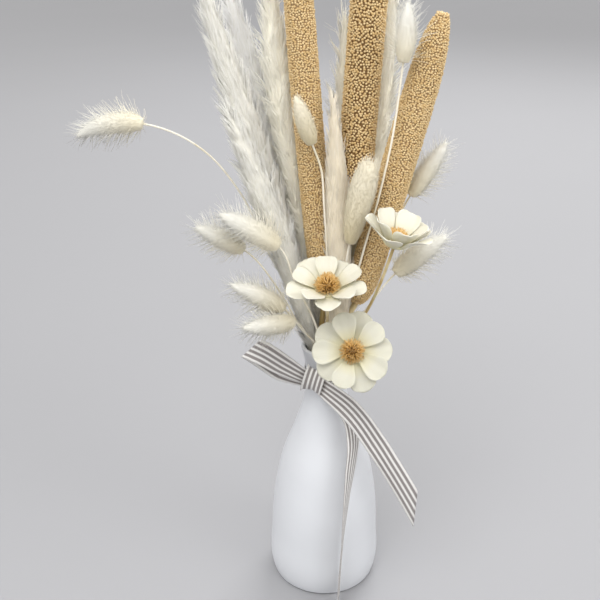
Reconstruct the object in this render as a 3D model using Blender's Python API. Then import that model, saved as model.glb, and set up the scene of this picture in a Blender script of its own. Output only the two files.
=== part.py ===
"""A vase of dried grasses: a bottle vase with a striped ribbon tied round its neck, three millet
heads, seven pale plumes, ten bunny tails and three cream flowers.

Metres, +Z up. The origin is the middle of the vase's foot and the front of the arrangement is -Y.
"""

import math
import random
from collections import namedtuple

import bmesh
import bpy
from mathutils import Matrix, Vector

MM = 0.001
CLEARANCE = 0.3 * MM
SEED = 11

# The vase is a turned bottle. Its outline is (height, outer radius) in mm, from foot to rim, and its
# lip is the last two points, which round the rim over to the wall's inner face.
VASE_SIDES = 32
VASE_WALL = 3 * MM
VASE_FLOOR = 5 * MM
VASE_FOOT_RADIUS = 36
VASE_FLOOR_EDGE = (1.6 * MM, 1.35)  # how the floor's edge curves up: in by, and times the floor's height
VASE_OUTLINE = (
    (1.8, 40.8),
    (8, 42.4),
    (40, 42.4),
    (76, 40),
    (108, 33.8),
    (138, 23.3),
    (164, 16.2),
    (184, 15.3),
    (204, 18.9),
)
VASE_LIP = ((205, 18.2), (205, 16.6))

# The stems cross the throat as a twisted sheaf, evenly spread, and stand on the vase's floor.
THROAT_HEIGHT = 180 * MM
MOUTH_HEIGHT = 204 * MM
SHEAF_RADIUS = 10.2 * MM
MILLET_SHEAF_RADIUS = 4 * MM
SHEAF_TWIST = 13.0  # radians of twist for each metre of height
STEM_STEP = 17 * MM
STALK_END = 1.2 * MM  # how far below its head the last ring of a stem is

# Sizes of each kind of stem and head. A swell is how full a head is at its base, where along it the
# head is fullest, how full it is at its tip, and how slowly it narrows.
MILLET_STEM = 2.5 * MM
MILLET_SIDES = 14
MILLET_RING = 5.5 * MM
MILLET_GRAIN = 1.5 * MM
MILLET_SWELL = (0.5, 0.35, 0.4, 6)
PLUME_STEM = 1.15 * MM
PLUME_SIDES = 10
PLUME_RING = 7.6 * MM
PLUME_LEAN = 3.6
PLUME_CORE = 0.52  # the share of a plume's radius that its slim core takes
PLUME_CORE_SWELL = (0.35, 0.5, 0.12, 1.7)
PLUME_TUFT_SWELL = (0.2, 0.5, 0.3, 1.7)
TAIL_STEM = 0.75 * MM
TAIL_SIDES = 10
TAIL_RINGS = 10
TAIL_HAIR = 2.8 * MM
TAIL_LEAN = 1.5
TAIL_CORE_SWELL = (0.45, 0.4, 0.15, 2.4)
TAIL_HAIR_SWELL = (0.3, 0.5, 0.6, 2)

# One stem each: its azimuth in the mouth in degrees from +X, the points its stem bends through, and
# the base, middle and tip of its head, all in mm, with the head's radius.
Grass = namedtuple("Grass", "azimuth via head radius")
MILLETS = (
    Grass(180, (), ((-2.5, 2, 250), (-14, 8.5, 366), (-24, 17, 492)), 10.2),
    Grass(60, (), ((16, 8, 292), (21.2, 16, 385), (28.5, 27, 504)), 12.6),
    Grass(300, (), ((26, 2, 240), (49, 0, 332), (69, -4, 437)), 10.6),
)
PLUMES = (
    Grass(153, (), ((-15, 8, 226), (-50, 11, 345), (-84, 12, 460)), 12),
    Grass(121, (), ((-16, 24, 238), (-48, 47, 368), (-72, 53, 458)), 11.5),
    Grass(172, (), ((-15, -3.5, 224), (-39.5, -14.5, 311), (-66, -22, 382)), 10.5),
    Grass(102, ((-9, 15, 245),), ((-22, 21, 304), (-32.5, 28, 378), (-41, 33, 461)), 11.5),
    Grass(66, (), ((8, 21, 240), (16.5, 40, 350), (15, 48, 430)), 11),
    Grass(291, (), ((8, -7, 256), (5.4, -6, 322), (2, -2, 384)), 7.4),
    Grass(44, (), ((18, 20, 240), (37, 50.5, 360), (44, 63, 462)), 11),
)
TAILS = (
    Grass(
        137,
        ((-25, 15, 238), (-41.5, 18, 268), (-61.6, 14, 317), (-84.5, 10, 347.5), (-104, 8, 360.5)),
        ((-124, 5, 367.5), (-145, 3, 368), (-167, 0, 360.5)),
        7.2,
    ),
    Grass(
        190,
        ((-21, -9.5, 226), (-34, -16, 255)),
        ((-58, -23, 289), (-73, -27, 299), (-88, -31, 307.5)),
        7,
    ),
    Grass(236, ((-23, -27, 266),), ((-34.5, -34, 296), (-52, -38, 309), (-71, -41, 320)), 8),
    Grass(205, ((-19.7, -17, 227),), ((-31.4, -27, 247), (-48, -32, 259), (-65.5, -37, 269)), 7.3),
    Grass(220, ((-15, -20, 223),), ((-24.5, -32, 239), (-41, -41, 241), (-57.5, -48, 242)), 7.3),
    Grass(
        264,
        ((-1, -10.5, 280), (-3.5, -10, 316), (-5.8, -10, 341)),
        ((-12, -13, 359), (-17, -15, 374), (-22.5, -17, 390)),
        6.6,
    ),
    Grass(307, ((8.5, -12, 228), (11, -16, 266)), ((14, -19, 293), (19, -22, 320), (25, -25, 349)), 9.3),
    Grass(
        337,
        ((24, -12, 284), (32.3, -14, 321), (39.7, -15, 362)),
        ((44.5, -15, 411), (45.5, -16, 428), (45.3, -17, 446)),
        6.6,
    ),
    Grass(26, ((35, 19, 262), (50, 15.5, 298)), ((58, 15, 315), (69.5, 15, 334), (80.5, 16, 352)), 6.8),
    Grass(352, ((27, -11, 238),), ((47, -12, 267), (63, -11, 281), (80.5, -9, 292.5)), 7.8),
)

# The flowers: the azimuth of the stem in the mouth, the point that the stem bends through, the centre
# of the petals, the way the flower faces, how far it is turned about that, how far its two tiers of
# petals rise, in degrees, and the size of its petals against PETAL_LENGTH.
Bloom = namedtuple("Bloom", "azimuth via centre facing turn rise size")
FLOWERS = (
    Bloom(249, (-1, -26, 236), (-2.4, -46, 273.5), (-0.02, -0.42, 0.91), 0, (12, 34), 1.1),
    Bloom(278, (4, -20, 212), (15.3, -54, 228), (-0.05, -0.86, 0.5), 0, (6, 24), 1.04),
    Bloom(322, (25, -24, 240), (43.6, -42, 304.5), (0.1, 0.1, 0.99), 27, (34, 54), 1.04),
)
PETALS_IN_TIER = 5
PETAL_LENGTH = 20 * MM
PETAL_WIDTH = 19 * MM
PETAL_THICKNESS = 0.8 * MM
PETAL_ROOT = 6.5 * MM
PETAL_CURL = 26  # degrees that a petal bends back over its length
PETAL_ROWS = ((0, 0.34), (0.24, 0.62), (0.5, 0.9), (0.74, 1), (0.91, 0.82), (1, 0.5))  # along, width
PETAL_COLUMNS = (-1, -0.36, 0.36, 1)  # across, from edge to edge
PETAL_CUP = 0.22  # how far its edges rise, against its half width
PETAL_ROUND = 0.3  # how far the corners of its end are drawn back, against its half width
PETAL_SCATTER = 4  # degrees that each petal's turn and rise may differ
TIER_LEVELS = (-2.2 * MM, -1.2 * MM)
DISC_RADIUS = 8.4 * MM
DISC_DEPTH = 3.2 * MM
DISC_SIDES = 10
DISC_RINGS = ((1, 0.35), (0.55, 0.85), (0, 1))  # depth and radius, as shares of the two above
CENTRE_RADIUS = 6.3 * MM
CENTRE_HEIGHT = 6.8 * MM
CENTRE_BRISTLE = 1.9 * MM
CENTRE_SIDES = 14
CENTRE_RINGS = (0, 0.12, 0.36, 0.6, 0.8, 0.93)  # of the way from the rim of the dome to its top
FLOWER_STEM = 1.1 * MM
FLOWER_STEM_SIDES = 5

# The ribbon, 20 mm wide where it lies flat. The band goes round the neck between two heights. The
# loop is a list of (x, y, z, width) in mm, and each tail of (x, y, z, width, direction across).
RIBBON_THICKNESS = 0.8 * MM
BAND_LEVELS = (176, 191)
KNOT_CENTRE = (-10, -17.2, 183.6)
KNOT_HALF = (6.8, 4.6, 9.6)
KNOT_LEVELS = (-1, -0.72, 0, 0.72)
KNOT_SIDES = 8
LOOP = (
    (-13, -19.5, 186, 10),
    (-31, -25, 200, 17),
    (-47, -25, 211, 20),
    (-54.5, -20, 213.5, 20),
    (-47, -15, 208, 20),
    (-31, -15.5, 195.5, 17),
    (-13, -17, 182.5, 10),
)
LOOP_ACROSS = (0.72, 0, 0.7)
WIDE_TAIL = (
    (-8, -20, 183.5, 12, (0.5, 0, 0.87)),
    (2, -30, 180.5, 15, (0.5, 0, 0.87)),
    (14, -36, 172.5, 17, (0.6, 0, 0.8)),
    (37, -40, 141, 17.5, (0.82, 0, 0.57)),
    (56, -41, 111, 17, (0.88, 0, 0.48)),
    (67, -41, 85, 24, (0.3, 0, 0.95)),
)
NARROW_TAIL = (
    (-7, -18.5, 181, 11, (0.55, 0.1, 0.83)),
    (6, -22, 170, 15, (0.6, 0.35, 0.72)),
    (15, -26.5, 157, 18, (0.62, 0.7, 0.35)),
    (18.6, -31, 143, 20, (0.55, 0.83, 0.06)),
    (18, -38, 122, 20, (0.45, 0.89, 0)),
    (15.2, -46, 98, 20, (0.3, 0.95, 0)),
    (12.5, -52, 62, 20, (0.15, 0.99, 0)),
    (11, -53.5, 32, 20, (0.13, 0.99, 0)),
    (10.4, -54, 4, 20, (0.12, 0.99, 0)),
)


def material(name, colour, roughness):
    made = bpy.data.materials.new(name)
    made.use_nodes = True
    shader = made.node_tree.nodes["Principled BSDF"]
    shader.inputs["Base Color"].default_value = (*colour, 1)
    shader.inputs["Roughness"].default_value = roughness
    return made


def mm(point):
    return Vector(point) * MM


def add_object(name, bm, finish, smooth_angle=None):
    """Links the mesh as an object of the scene, with its faces turned outwards."""
    bmesh.ops.recalc_face_normals(bm, faces=bm.faces)
    mesh = bpy.data.meshes.new(name)
    bm.to_mesh(mesh)
    bm.free()
    mesh.materials.append(finish)
    if smooth_angle is not None:
        mesh.shade_smooth()
        mesh.set_sharp_from_angle(angle=math.radians(smooth_angle))
    made = bpy.data.objects.new(name, mesh)
    bpy.context.scene.collection.objects.link(made)
    return made


def fuse(body, repeats):
    """Joins the repeats to the body by one Boolean union, and removes them."""
    group = bpy.data.collections.new(body.name + "_repeats")
    bpy.context.scene.collection.children.link(group)
    for piece in repeats:
        bpy.context.scene.collection.objects.unlink(piece)
        group.objects.link(piece)
    union = body.modifiers.new("Union", "BOOLEAN")
    union.operation = "UNION"
    union.operand_type = "COLLECTION"
    union.collection = group
    union.solver = "EXACT"
    joined = bpy.data.meshes.new_from_object(
        body.evaluated_get(bpy.context.evaluated_depsgraph_get())
    )
    body.modifiers.remove(union)
    body.data = joined
    for piece in repeats:
        bpy.data.objects.remove(piece)
    bpy.data.collections.remove(group)
    return body


def curve(points, steps, start=None, end=None):
    """Points of a smooth curve through the given ones, with so many steps in each stretch.

    Start and end are the directions that it leaves and arrives in, where they are given.
    """
    points = [Vector(point) for point in points]
    spans = [b - a for a, b in zip(points, points[1:])]
    lengths = [span.length for span in spans]
    slopes = [spans[0] / lengths[0]]
    for i in range(1, len(spans)):
        before, after = spans[i - 1] / lengths[i - 1], spans[i] / lengths[i]
        slopes.append((before * lengths[i] + after * lengths[i - 1]) / (lengths[i - 1] + lengths[i]))
    slopes.append(spans[-1] / lengths[-1])
    if len(spans) > 1 and start is None:
        slopes[0] = 2 * slopes[0] - slopes[1]
    if len(spans) > 1 and end is None:
        slopes[-1] = 2 * slopes[-1] - slopes[-2]
    if start is not None:
        slopes[0] = start.normalized()
    if end is not None:
        slopes[-1] = end.normalized()
    found = [points[0]]
    for i, length in enumerate(lengths):
        for step in range(1, steps + 1):
            t = step / steps
            found.append(
                points[i] * (2 * t**3 - 3 * t**2 + 1)
                + slopes[i] * length * (t**3 - 2 * t**2 + t)
                + points[i + 1] * (3 * t**2 - 2 * t**3)
                + slopes[i + 1] * length * (t**3 - t**2)
            )
    return found


def frames(route):
    """For each point of a route: the point, two directions across it, and the way ahead."""
    ahead = []
    for i in range(len(route)):
        ahead.append((route[min(i + 1, len(route) - 1)] - route[max(i - 1, 0)]).normalized())
    side = Vector((1, 0, 0)) - ahead[0] * ahead[0].x
    side.normalize()
    found = []
    for i, point in enumerate(route):
        if i:
            side = ahead[i - 1].rotation_difference(ahead[i]) @ side
        found.append((point, side, ahead[i].cross(side), ahead[i]))
    return found


def circle(frame, sides, radius):
    point, side, up, _ = frame
    ring = []
    for i in range(sides):
        angle = 2 * math.pi * i / sides
        ring.append(point + side * radius * math.cos(angle) + up * radius * math.sin(angle))
    return ring


def swell(t, base, peak, tip, fullness):
    """How full a head is, from 0 to 1, along its length: base at t = 0, 1 at the peak, tip at t = 1."""
    if t < peak:
        return 1 - (1 - base) * ((peak - t) / peak) ** fullness
    return 1 - (1 - tip) * ((t - peak) / (1 - peak)) ** fullness


def skin(rings, apex):
    """One closed skin over rings of points, with a flat first end and an apex at the last.

    Every second point of a ring is a raised one, staggered from ring to ring, and the faces are
    split so that each raised point stands up alone. A ring may have twice the points of the last.
    """
    bm = bmesh.new()
    rows = [[bm.verts.new(point) for point in ring] for ring in rings]
    bm.faces.new(rows[0])
    for j, (low, high) in enumerate(zip(rows, rows[1:])):
        count = len(low)
        for i in range(count):
            k = (i + 1) % count
            if len(high) == 2 * count:
                far = (2 * i + 2) % len(high)
                corners = ((low[i], high[2 * i], high[2 * i + 1]), (low[i], high[2 * i + 1], low[k]))
                corners += ((low[k], high[2 * i + 1], high[far]),)
            elif (i + j) % 2 == 0:
                corners = ((low[i], low[k], high[i]), (low[k], high[k], high[i]))
            else:
                corners = ((low[i], low[k], high[k]), (low[i], high[k], high[i]))
            for corner in corners:
                bm.faces.new(corner)
    top = bm.verts.new(apex)
    last = rows[-1]
    for i, vert in enumerate(last):
        bm.faces.new((vert, last[(i + 1) % len(last)], top))
    return bm


def sheaf_point(azimuth, radius, height):
    """Where a stem of the sheaf is at a height: its azimuth is given in the mouth."""
    at_mouth = math.atan(SHEAF_TWIST * (MOUTH_HEIGHT - THROAT_HEIGHT))
    angle = math.radians(azimuth) - at_mouth
    x, y = radius * math.cos(angle), radius * math.sin(angle)
    turn = SHEAF_TWIST * (height - THROAT_HEIGHT)
    return Vector((x - turn * y, y + turn * x, height))


def stem_rings(azimuth, sheaf, radius, sides, via, end, arriving):
    """Rings of a stem from the vase's floor through its mouth, by way of the points via, to its end."""
    foot = sheaf_point(azimuth, sheaf, VASE_FLOOR + CLEARANCE)
    mouth = sheaf_point(azimuth, sheaf, MOUTH_HEIGHT)
    points = [mouth, *(mm(point) for point in via), end]
    longest = max((b - a).length for a, b in zip(points, points[1:]))
    steps = max(2, math.ceil(longest / STEM_STEP / (1 + 0.4 * len(via))))
    above = curve(points, steps, start=mouth - foot, end=arriving)
    route = frames([foot, *above])
    point, side, up, _ = route[0]
    route[0] = (point, Vector((side.x, side.y, 0)), Vector((up.x, up.y, 0)), Vector((0, 0, 1)))
    return [circle(frame, sides, radius) for frame in route], route[-1]


def head_rings(head, count, sides, body, relief, lean, first, draw):
    """Rings of a head whose every second point is raised and leans on towards the tip."""
    route = frames(curve([mm(point) for point in head], (count + 1) // 2))
    rings = []
    for j, (point, side, up, ahead) in enumerate(route[:-1]):
        t = j / (len(route) - 1)
        ring = []
        for i in range(sides):
            angle = 2 * math.pi * i / sides
            outward = side * math.cos(angle) + up * math.sin(angle)
            raised = relief(t) * draw.uniform(0.8, 1.2) if (i + j + first) % 2 == 0 else 0
            ring.append(point + outward * (body(t) + raised) + ahead * lean * raised)
        rings.append(ring)
    return rings, route[-1]


def grass(name, kind, sheaf, stem, sides, count, body, relief, lean, finish):
    """A head grown in one with its stem."""
    draw = random.Random(name + str(SEED))
    way_in = curve([mm(point) for point in kind.head], 4)
    inward = (way_in[1] - way_in[0]).normalized()
    stalk, _ = stem_rings(
        kind.azimuth, sheaf, stem, sides // 2, kind.via, mm(kind.head[0]), inward
    )
    stalk[-1] = [point - inward * STALK_END for point in stalk[-1]]
    rings, (tip, _, _, ahead) = head_rings(
        kind.head, count, sides, body, relief, lean, len(stalk), draw
    )
    apex = tip + ahead * lean * relief(1)
    return add_object(name, skin(stalk + rings, apex), finish)


def head_length(kind):
    base, middle, tip = (mm(point) for point in kind.head)
    return (middle - base).length + (tip - middle).length


def make_millet(number, kind, finish):
    """A dense spike of grain: knobs in staggered rows all over a round-ended rod."""
    radius = kind.radius * MM

    def body(t):
        return (radius - MILLET_GRAIN) * swell(t, *MILLET_SWELL)

    def relief(t):
        return MILLET_GRAIN

    count = round(head_length(kind) / MILLET_RING)
    name = f"millet_{number}"
    return grass(
        name, kind, MILLET_SHEAF_RADIUS, MILLET_STEM, MILLET_SIDES, count, body, relief, 0, finish
    )


def make_plume(number, kind, finish):
    """A feathery plume: long tufts lie along a slim core and lean out towards its tip."""
    radius = kind.radius * MM

    def body(t):
        return radius * PLUME_CORE * swell(t, *PLUME_CORE_SWELL)

    def relief(t):
        return radius * (1 - PLUME_CORE) * swell(t, *PLUME_TUFT_SWELL)

    count = round(head_length(kind) / PLUME_RING)
    name = f"plume_{number}"
    return grass(
        name, kind, SHEAF_RADIUS, PLUME_STEM, PLUME_SIDES, count, body, relief, PLUME_LEAN, finish
    )


def make_tail(number, kind, finish):
    """A bunny tail: an egg-shaped head whose hairs stand out and lean to its tip."""
    radius = kind.radius * MM

    def body(t):
        return (radius - 0.4 * TAIL_HAIR) * swell(t, *TAIL_CORE_SWELL)

    def relief(t):
        return TAIL_HAIR * swell(t, *TAIL_HAIR_SWELL)

    name = f"bunny_tail_{number}"
    return grass(
        name, kind, SHEAF_RADIUS, TAIL_STEM, TAIL_SIDES, TAIL_RINGS, body, relief, TAIL_LEAN, finish
    )


def vase_outline():
    """(height, radius) down the outside of the vase, from its foot to its rim, in metres."""
    foot = [Vector((0, VASE_FOOT_RADIUS, 0)) * MM]
    side = curve([Vector((z, r, 0)) * MM for z, r in VASE_OUTLINE], 2)
    return [(point.x, point.y) for point in foot + side]


def vase_radius(height):
    outline = vase_outline()
    for (z0, r0), (z1, r1) in zip(outline, outline[1:]):
        if z0 <= height <= z1:
            return r0 + (r1 - r0) * (height - z0) / (z1 - z0)
    return outline[-1][1]


def turned(name, profile, finish, smooth_angle, closed):
    """A profile of (radius, height) points, turned round the Z axis."""
    bm = bmesh.new()
    verts = [bm.verts.new((radius, 0, height)) for radius, height in profile]
    edges = [bm.edges.new(pair) for pair in zip(verts, verts[1:])]
    if closed:
        edges.append(bm.edges.new((verts[-1], verts[0])))
    bmesh.ops.spin(
        bm, geom=verts + edges, axis=(0, 0, 1), cent=(0, 0, 0),
        steps=VASE_SIDES, angle=2 * math.pi, use_merge=True,
    )
    bmesh.ops.remove_doubles(bm, verts=bm.verts, dist=0.01 * MM)
    return add_object(name, bm, finish, smooth_angle)


def make_vase(finish):
    outline = vase_outline()
    outside = [(radius, height) for height, radius in outline]
    lip = [(radius * MM, height * MM) for height, radius in VASE_LIP]
    inside = []
    for height, radius in outline[:1:-3]:
        inside.append((radius - VASE_WALL, height))
    floor = [
        (inside[-1][0] - VASE_FLOOR_EDGE[0], VASE_FLOOR * VASE_FLOOR_EDGE[1]),
        (VASE_FOOT_RADIUS * MM, VASE_FLOOR),
        (0, VASE_FLOOR),
    ]
    return turned("vase", [(0, 0)] + outside + lip + inside + floor, finish, 40, False)


def strip(name, centres, widths, across, finish):
    """A length of ribbon along its centres: closed, and alike on both faces."""
    bm = bmesh.new()
    sections = []
    for i, centre in enumerate(centres):
        ahead = centres[min(i + 1, len(centres) - 1)] - centres[max(i - 1, 0)]
        aside = across[i].normalized() * widths[i] / 2
        proud = ahead.cross(aside).normalized() * RIBBON_THICKNESS / 2
        corners = (aside + proud, proud - aside, -aside - proud, aside - proud)
        sections.append([bm.verts.new(centre + corner) for corner in corners])
    bm.faces.new(sections[0])
    bm.faces.new(sections[-1])
    for low, high in zip(sections, sections[1:]):
        bm.faces.new((low[0], low[1], high[1]))
        bm.faces.new((low[0], high[1], high[0]))
        bm.faces.new((low[3], low[2], high[2]))
        bm.faces.new((low[3], high[2], high[3]))
        bm.faces.new((low[1], low[2], high[2], high[1]))
        bm.faces.new((low[3], low[0], high[0], high[3]))
    return add_object(name, bm, finish)


def blend(values, steps):
    """The values, with steps - 1 even ones between each two."""
    found = [values[0]]
    for a, b in zip(values, values[1:]):
        found += [a + (b - a) * step / steps for step in range(1, steps + 1)]
    return found


def ribbon_length(name, stations, steps, finish):
    """A strip through stations of (x, y, z, width, across)."""
    centres = curve([mm(station[:3]) for station in stations], steps)
    widths = blend([station[3] * MM for station in stations], steps)
    across = blend([Vector(station[4]) for station in stations], steps)
    return strip(name, centres, widths, across, finish)


def make_knot(finish):
    """A rounded block whose back is sunk in the band."""
    centre = mm(KNOT_CENTRE)
    half_wide, half_deep, half_high = mm(KNOT_HALF)
    face = Vector((centre.x, centre.y, 0)).normalized()
    side = Vector((-face.y, face.x, 0))
    rings = []
    for height in KNOT_LEVELS:
        full = math.sqrt(1 - 0.6 * height**2)
        level = centre + Vector((0, 0, height * half_high))
        ring = []
        for i in range(KNOT_SIDES):
            angle = 2 * math.pi * (i + 0.5) / KNOT_SIDES
            spread = side * half_wide * math.cos(angle) + face * half_deep * math.sin(angle)
            ring.append(level + spread * full)
        rings.append(ring)
    return add_object("knot", skin(rings, centre + Vector((0, 0, half_high))), finish)


def make_ribbon(finish):
    """The band round the neck, with the knot, the loop and both tails grown into one body."""
    levels = [level * MM for level in BAND_LEVELS]
    inner = [(vase_radius(level) + CLEARANCE + 0.1 * MM, level) for level in levels]
    outer = [(radius + RIBBON_THICKNESS, level) for radius, level in reversed(inner)]
    band = turned("ribbon", inner + outer, finish, None, True)

    loop = [(*station, LOOP_ACROSS) for station in LOOP]
    repeats = [
        make_knot(finish),
        ribbon_length("loop", loop, 2, finish),
        ribbon_length("wide_tail", WIDE_TAIL, 3, finish),
        ribbon_length("narrow_tail", NARROW_TAIL, 2, finish),
    ]
    return fuse(band, repeats)


def petal(name, place, rise, size, draw, finish):
    """One spoon-shaped petal with a broad round end, split into triangles alike on both faces."""
    bm = bmesh.new()
    under, over = [], []
    x, z, before = PETAL_ROOT, 0.0, 0.0
    ripple = draw.uniform(-0.05, 0.05)
    for along, wide in PETAL_ROWS:
        heading = math.radians(rise - PETAL_CURL * along)
        x += (along - before) * PETAL_LENGTH * size * math.cos(heading)
        z += (along - before) * PETAL_LENGTH * size * math.sin(heading)
        before = along
        half = PETAL_WIDTH * size * wide / 2
        thick = Vector((-math.sin(heading), 0, math.cos(heading))) * PETAL_THICKNESS
        for grid, offset in ((under, Vector()), (over, thick)):
            row = []
            for v in PETAL_COLUMNS:
                lift = half * (PETAL_CUP * v * v + ripple * v)
                back = half * PETAL_ROUND * v * v * along**3
                row.append(bm.verts.new(place @ (Vector((x - back, half * v, z + lift)) + offset)))
            grid.append(row)
    last = len(PETAL_COLUMNS) - 1
    for low in range(len(PETAL_ROWS) - 1):
        high = low + 1
        for grid in (under, over):
            for i in range(last):
                bm.faces.new((grid[low][i], grid[low][i + 1], grid[high][i + 1]))
                bm.faces.new((grid[low][i], grid[high][i + 1], grid[high][i]))
        for i in (0, last):
            bm.faces.new((under[low][i], under[high][i], over[high][i], over[low][i]))
    for i in range(last):
        for row in (0, len(PETAL_ROWS) - 1):
            bm.faces.new((under[row][i], under[row][i + 1], over[row][i + 1], over[row][i]))
    return add_object(name, bm, finish)


def make_petals(name, place, bloom, finish):
    """Two tiers of petals whose roots are sunk in a disc with a cone below it."""
    draw = random.Random(name + str(SEED))
    rings = []
    for depth, radius in DISC_RINGS:
        frame = (Vector((0, 0, -depth * DISC_DEPTH)), Vector((1, 0, 0)), Vector((0, 1, 0)), None)
        rings.append([place @ point for point in circle(frame, DISC_SIDES, DISC_RADIUS * radius)])
    disc = add_object(name, skin(rings, place @ Vector((0, 0, 0.01 * MM))), finish)
    petals = []
    for tier, (rise, level) in enumerate(zip(bloom.rise, TIER_LEVELS)):
        for i in range(PETALS_IN_TIER):
            azimuth = bloom.turn + 360 / PETALS_IN_TIER * (i + 0.5 * tier)
            azimuth += draw.uniform(-PETAL_SCATTER, PETAL_SCATTER)
            turn = Matrix.Rotation(math.radians(azimuth), 4, "Z")
            spot = place @ Matrix.Translation((0, 0, level)) @ turn
            size = bloom.size * draw.uniform(0.94, 1.04) * (1 - 0.06 * tier)
            tilt = rise + draw.uniform(-PETAL_SCATTER, PETAL_SCATTER)
            petals.append(petal(f"petal_{tier}_{i}", spot, tilt, size, draw, finish))
    return fuse(disc, petals)


def make_centre(name, place, finish):
    """A dome of bristles: raised points in staggered rings, which stand out square to the dome."""
    draw = random.Random(name + str(SEED))
    rings = []
    for j, t in enumerate(CENTRE_RINGS):
        angle = t * math.pi / 2
        radius = CENTRE_RADIUS * math.cos(angle) ** 0.8
        height = CLEARANCE + CENTRE_HEIGHT * math.sin(angle)
        ring = []
        for i in range(CENTRE_SIDES):
            around = 2 * math.pi * i / CENTRE_SIDES
            raised = CENTRE_BRISTLE * draw.uniform(0.8, 1.2) if (i + j) % 2 == 0 and j else 0
            out = radius + raised * math.cos(angle)
            up = height + raised * (0.35 + math.sin(angle))
            ring.append(place @ Vector((out * math.cos(around), out * math.sin(around), up)))
        rings.append(ring)
    apex = place @ Vector((0, 0, CLEARANCE + CENTRE_HEIGHT + 0.5 * CENTRE_BRISTLE))
    return add_object(name, skin(rings, apex), finish)


def make_flower_stem(name, place, facing, bloom, finish):
    """A stem from the vase's floor to just below the flower, with its top square to the flower."""
    top = place @ Vector((0, 0, -DISC_DEPTH - CLEARANCE))
    stalk, last = stem_rings(
        bloom.azimuth, SHEAF_RADIUS, FLOWER_STEM, FLOWER_STEM_SIDES, (bloom.via,), top, facing
    )
    side = (last[1] - facing * last[1].dot(facing)).normalized()
    stalk[-1] = circle((top, side, facing.cross(side), facing), FLOWER_STEM_SIDES, FLOWER_STEM)
    return add_object(name, skin(stalk, top + facing * 0.01 * MM), finish)


def make_flower(number, bloom, petal_finish, centre_finish, stem_finish):
    facing = Vector(bloom.facing).normalized()
    turn = Vector((0, 0, 1)).rotation_difference(facing)
    place = Matrix.Translation(mm(bloom.centre)) @ turn.to_matrix().to_4x4()
    make_petals(f"flower_{number}_petals", place, bloom, petal_finish)
    make_centre(f"flower_{number}_centre", place, centre_finish)
    make_flower_stem(f"flower_{number}_stem", place, facing, bloom, stem_finish)


def main():
    for existing in list(bpy.data.objects):
        bpy.data.objects.remove(existing)
    ceramic = material("matte white glaze", (0.74, 0.76, 0.79), 0.55)
    cloth = material("striped ribbon cloth", (0.62, 0.58, 0.56), 0.85)
    grain = material("dry millet grain", (0.55, 0.36, 0.14), 0.8)
    plume = material("bleached plume", (0.80, 0.78, 0.72), 0.9)
    hair = material("bleached bunny tail", (0.84, 0.81, 0.70), 0.9)
    ivory = material("ivory petal", (0.90, 0.89, 0.76), 0.6)
    bristle = material("golden bristle", (0.50, 0.25, 0.06), 0.8)
    straw = material("straw stem", (0.58, 0.47, 0.27), 0.7)

    make_vase(ceramic)
    make_ribbon(cloth)
    for number, kind in enumerate(MILLETS, 1):
        make_millet(number, kind, grain)
    for number, kind in enumerate(PLUMES, 1):
        make_plume(number, kind, plume)
    for number, kind in enumerate(TAILS, 1):
        make_tail(number, kind, hair)
    for number, bloom in enumerate(FLOWERS, 1):
        make_flower(number, bloom, ivory, bristle, straw)


main()
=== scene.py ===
"""The looks of a vase of dried grasses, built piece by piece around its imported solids.

Metres, +Z up. The origin is the middle of the vase's foot and the front of the arrangement is -Y.
"""

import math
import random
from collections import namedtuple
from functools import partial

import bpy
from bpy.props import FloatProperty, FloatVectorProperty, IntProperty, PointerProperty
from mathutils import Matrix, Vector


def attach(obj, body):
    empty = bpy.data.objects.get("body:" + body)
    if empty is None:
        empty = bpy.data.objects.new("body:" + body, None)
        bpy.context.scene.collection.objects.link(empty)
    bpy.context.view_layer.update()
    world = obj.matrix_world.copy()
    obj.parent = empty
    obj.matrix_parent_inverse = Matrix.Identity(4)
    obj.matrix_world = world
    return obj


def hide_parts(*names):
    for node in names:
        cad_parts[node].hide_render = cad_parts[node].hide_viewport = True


bl_info = {
    "name": "Vase of Dried Grasses",
    "version": (1, 0, 0),
    "blender": (4, 5, 0),
    "location": "3D View > Sidebar > Dried Grasses",
    "description": "A bottle vase with a striped ribbon, millet, plumes, bunny tails and cream flowers",
    "category": "Add Mesh",
}

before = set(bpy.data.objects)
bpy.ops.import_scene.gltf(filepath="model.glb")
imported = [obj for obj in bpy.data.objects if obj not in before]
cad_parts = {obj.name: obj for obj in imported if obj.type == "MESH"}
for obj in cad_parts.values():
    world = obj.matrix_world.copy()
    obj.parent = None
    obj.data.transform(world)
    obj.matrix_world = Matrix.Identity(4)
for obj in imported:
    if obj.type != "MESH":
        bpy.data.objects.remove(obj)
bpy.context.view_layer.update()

MM = 0.001
BODY = "root"
SEED = 11
CLEARANCE = 0.3 * MM

# The camera stands 0.5 m above the table and looks down by 25 degrees: its place in metres, its tilt in
# degrees and its lens in mm.
CAMERA_PLACE = (-0.0197, -0.556, 0.5)
CAMERA_TILT = 65
CAMERA_LENS = 51

# The vase's outline is (height, outer radius) in mm, from foot to rim.
VASE_OUTLINE = (
    (1.8, 40.8),
    (8, 42.4),
    (40, 42.4),
    (76, 40),
    (108, 33.8),
    (138, 23.3),
    (164, 16.2),
    (184, 15.3),
    (204, 18.9),
)
VASE_FOOT_RADIUS = 36
# How far past the foot's radius and how high, in mm: the foot's eased edge and the inner corner.
FOOT_EDGE = ((-0.5, 0), (1, 0.15))
INNER_CORNER = ((-1, 5.6), (-4, 5))
INNER_WALL_START = 9 * MM
VASE_FLOOR = 5 * MM

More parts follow.
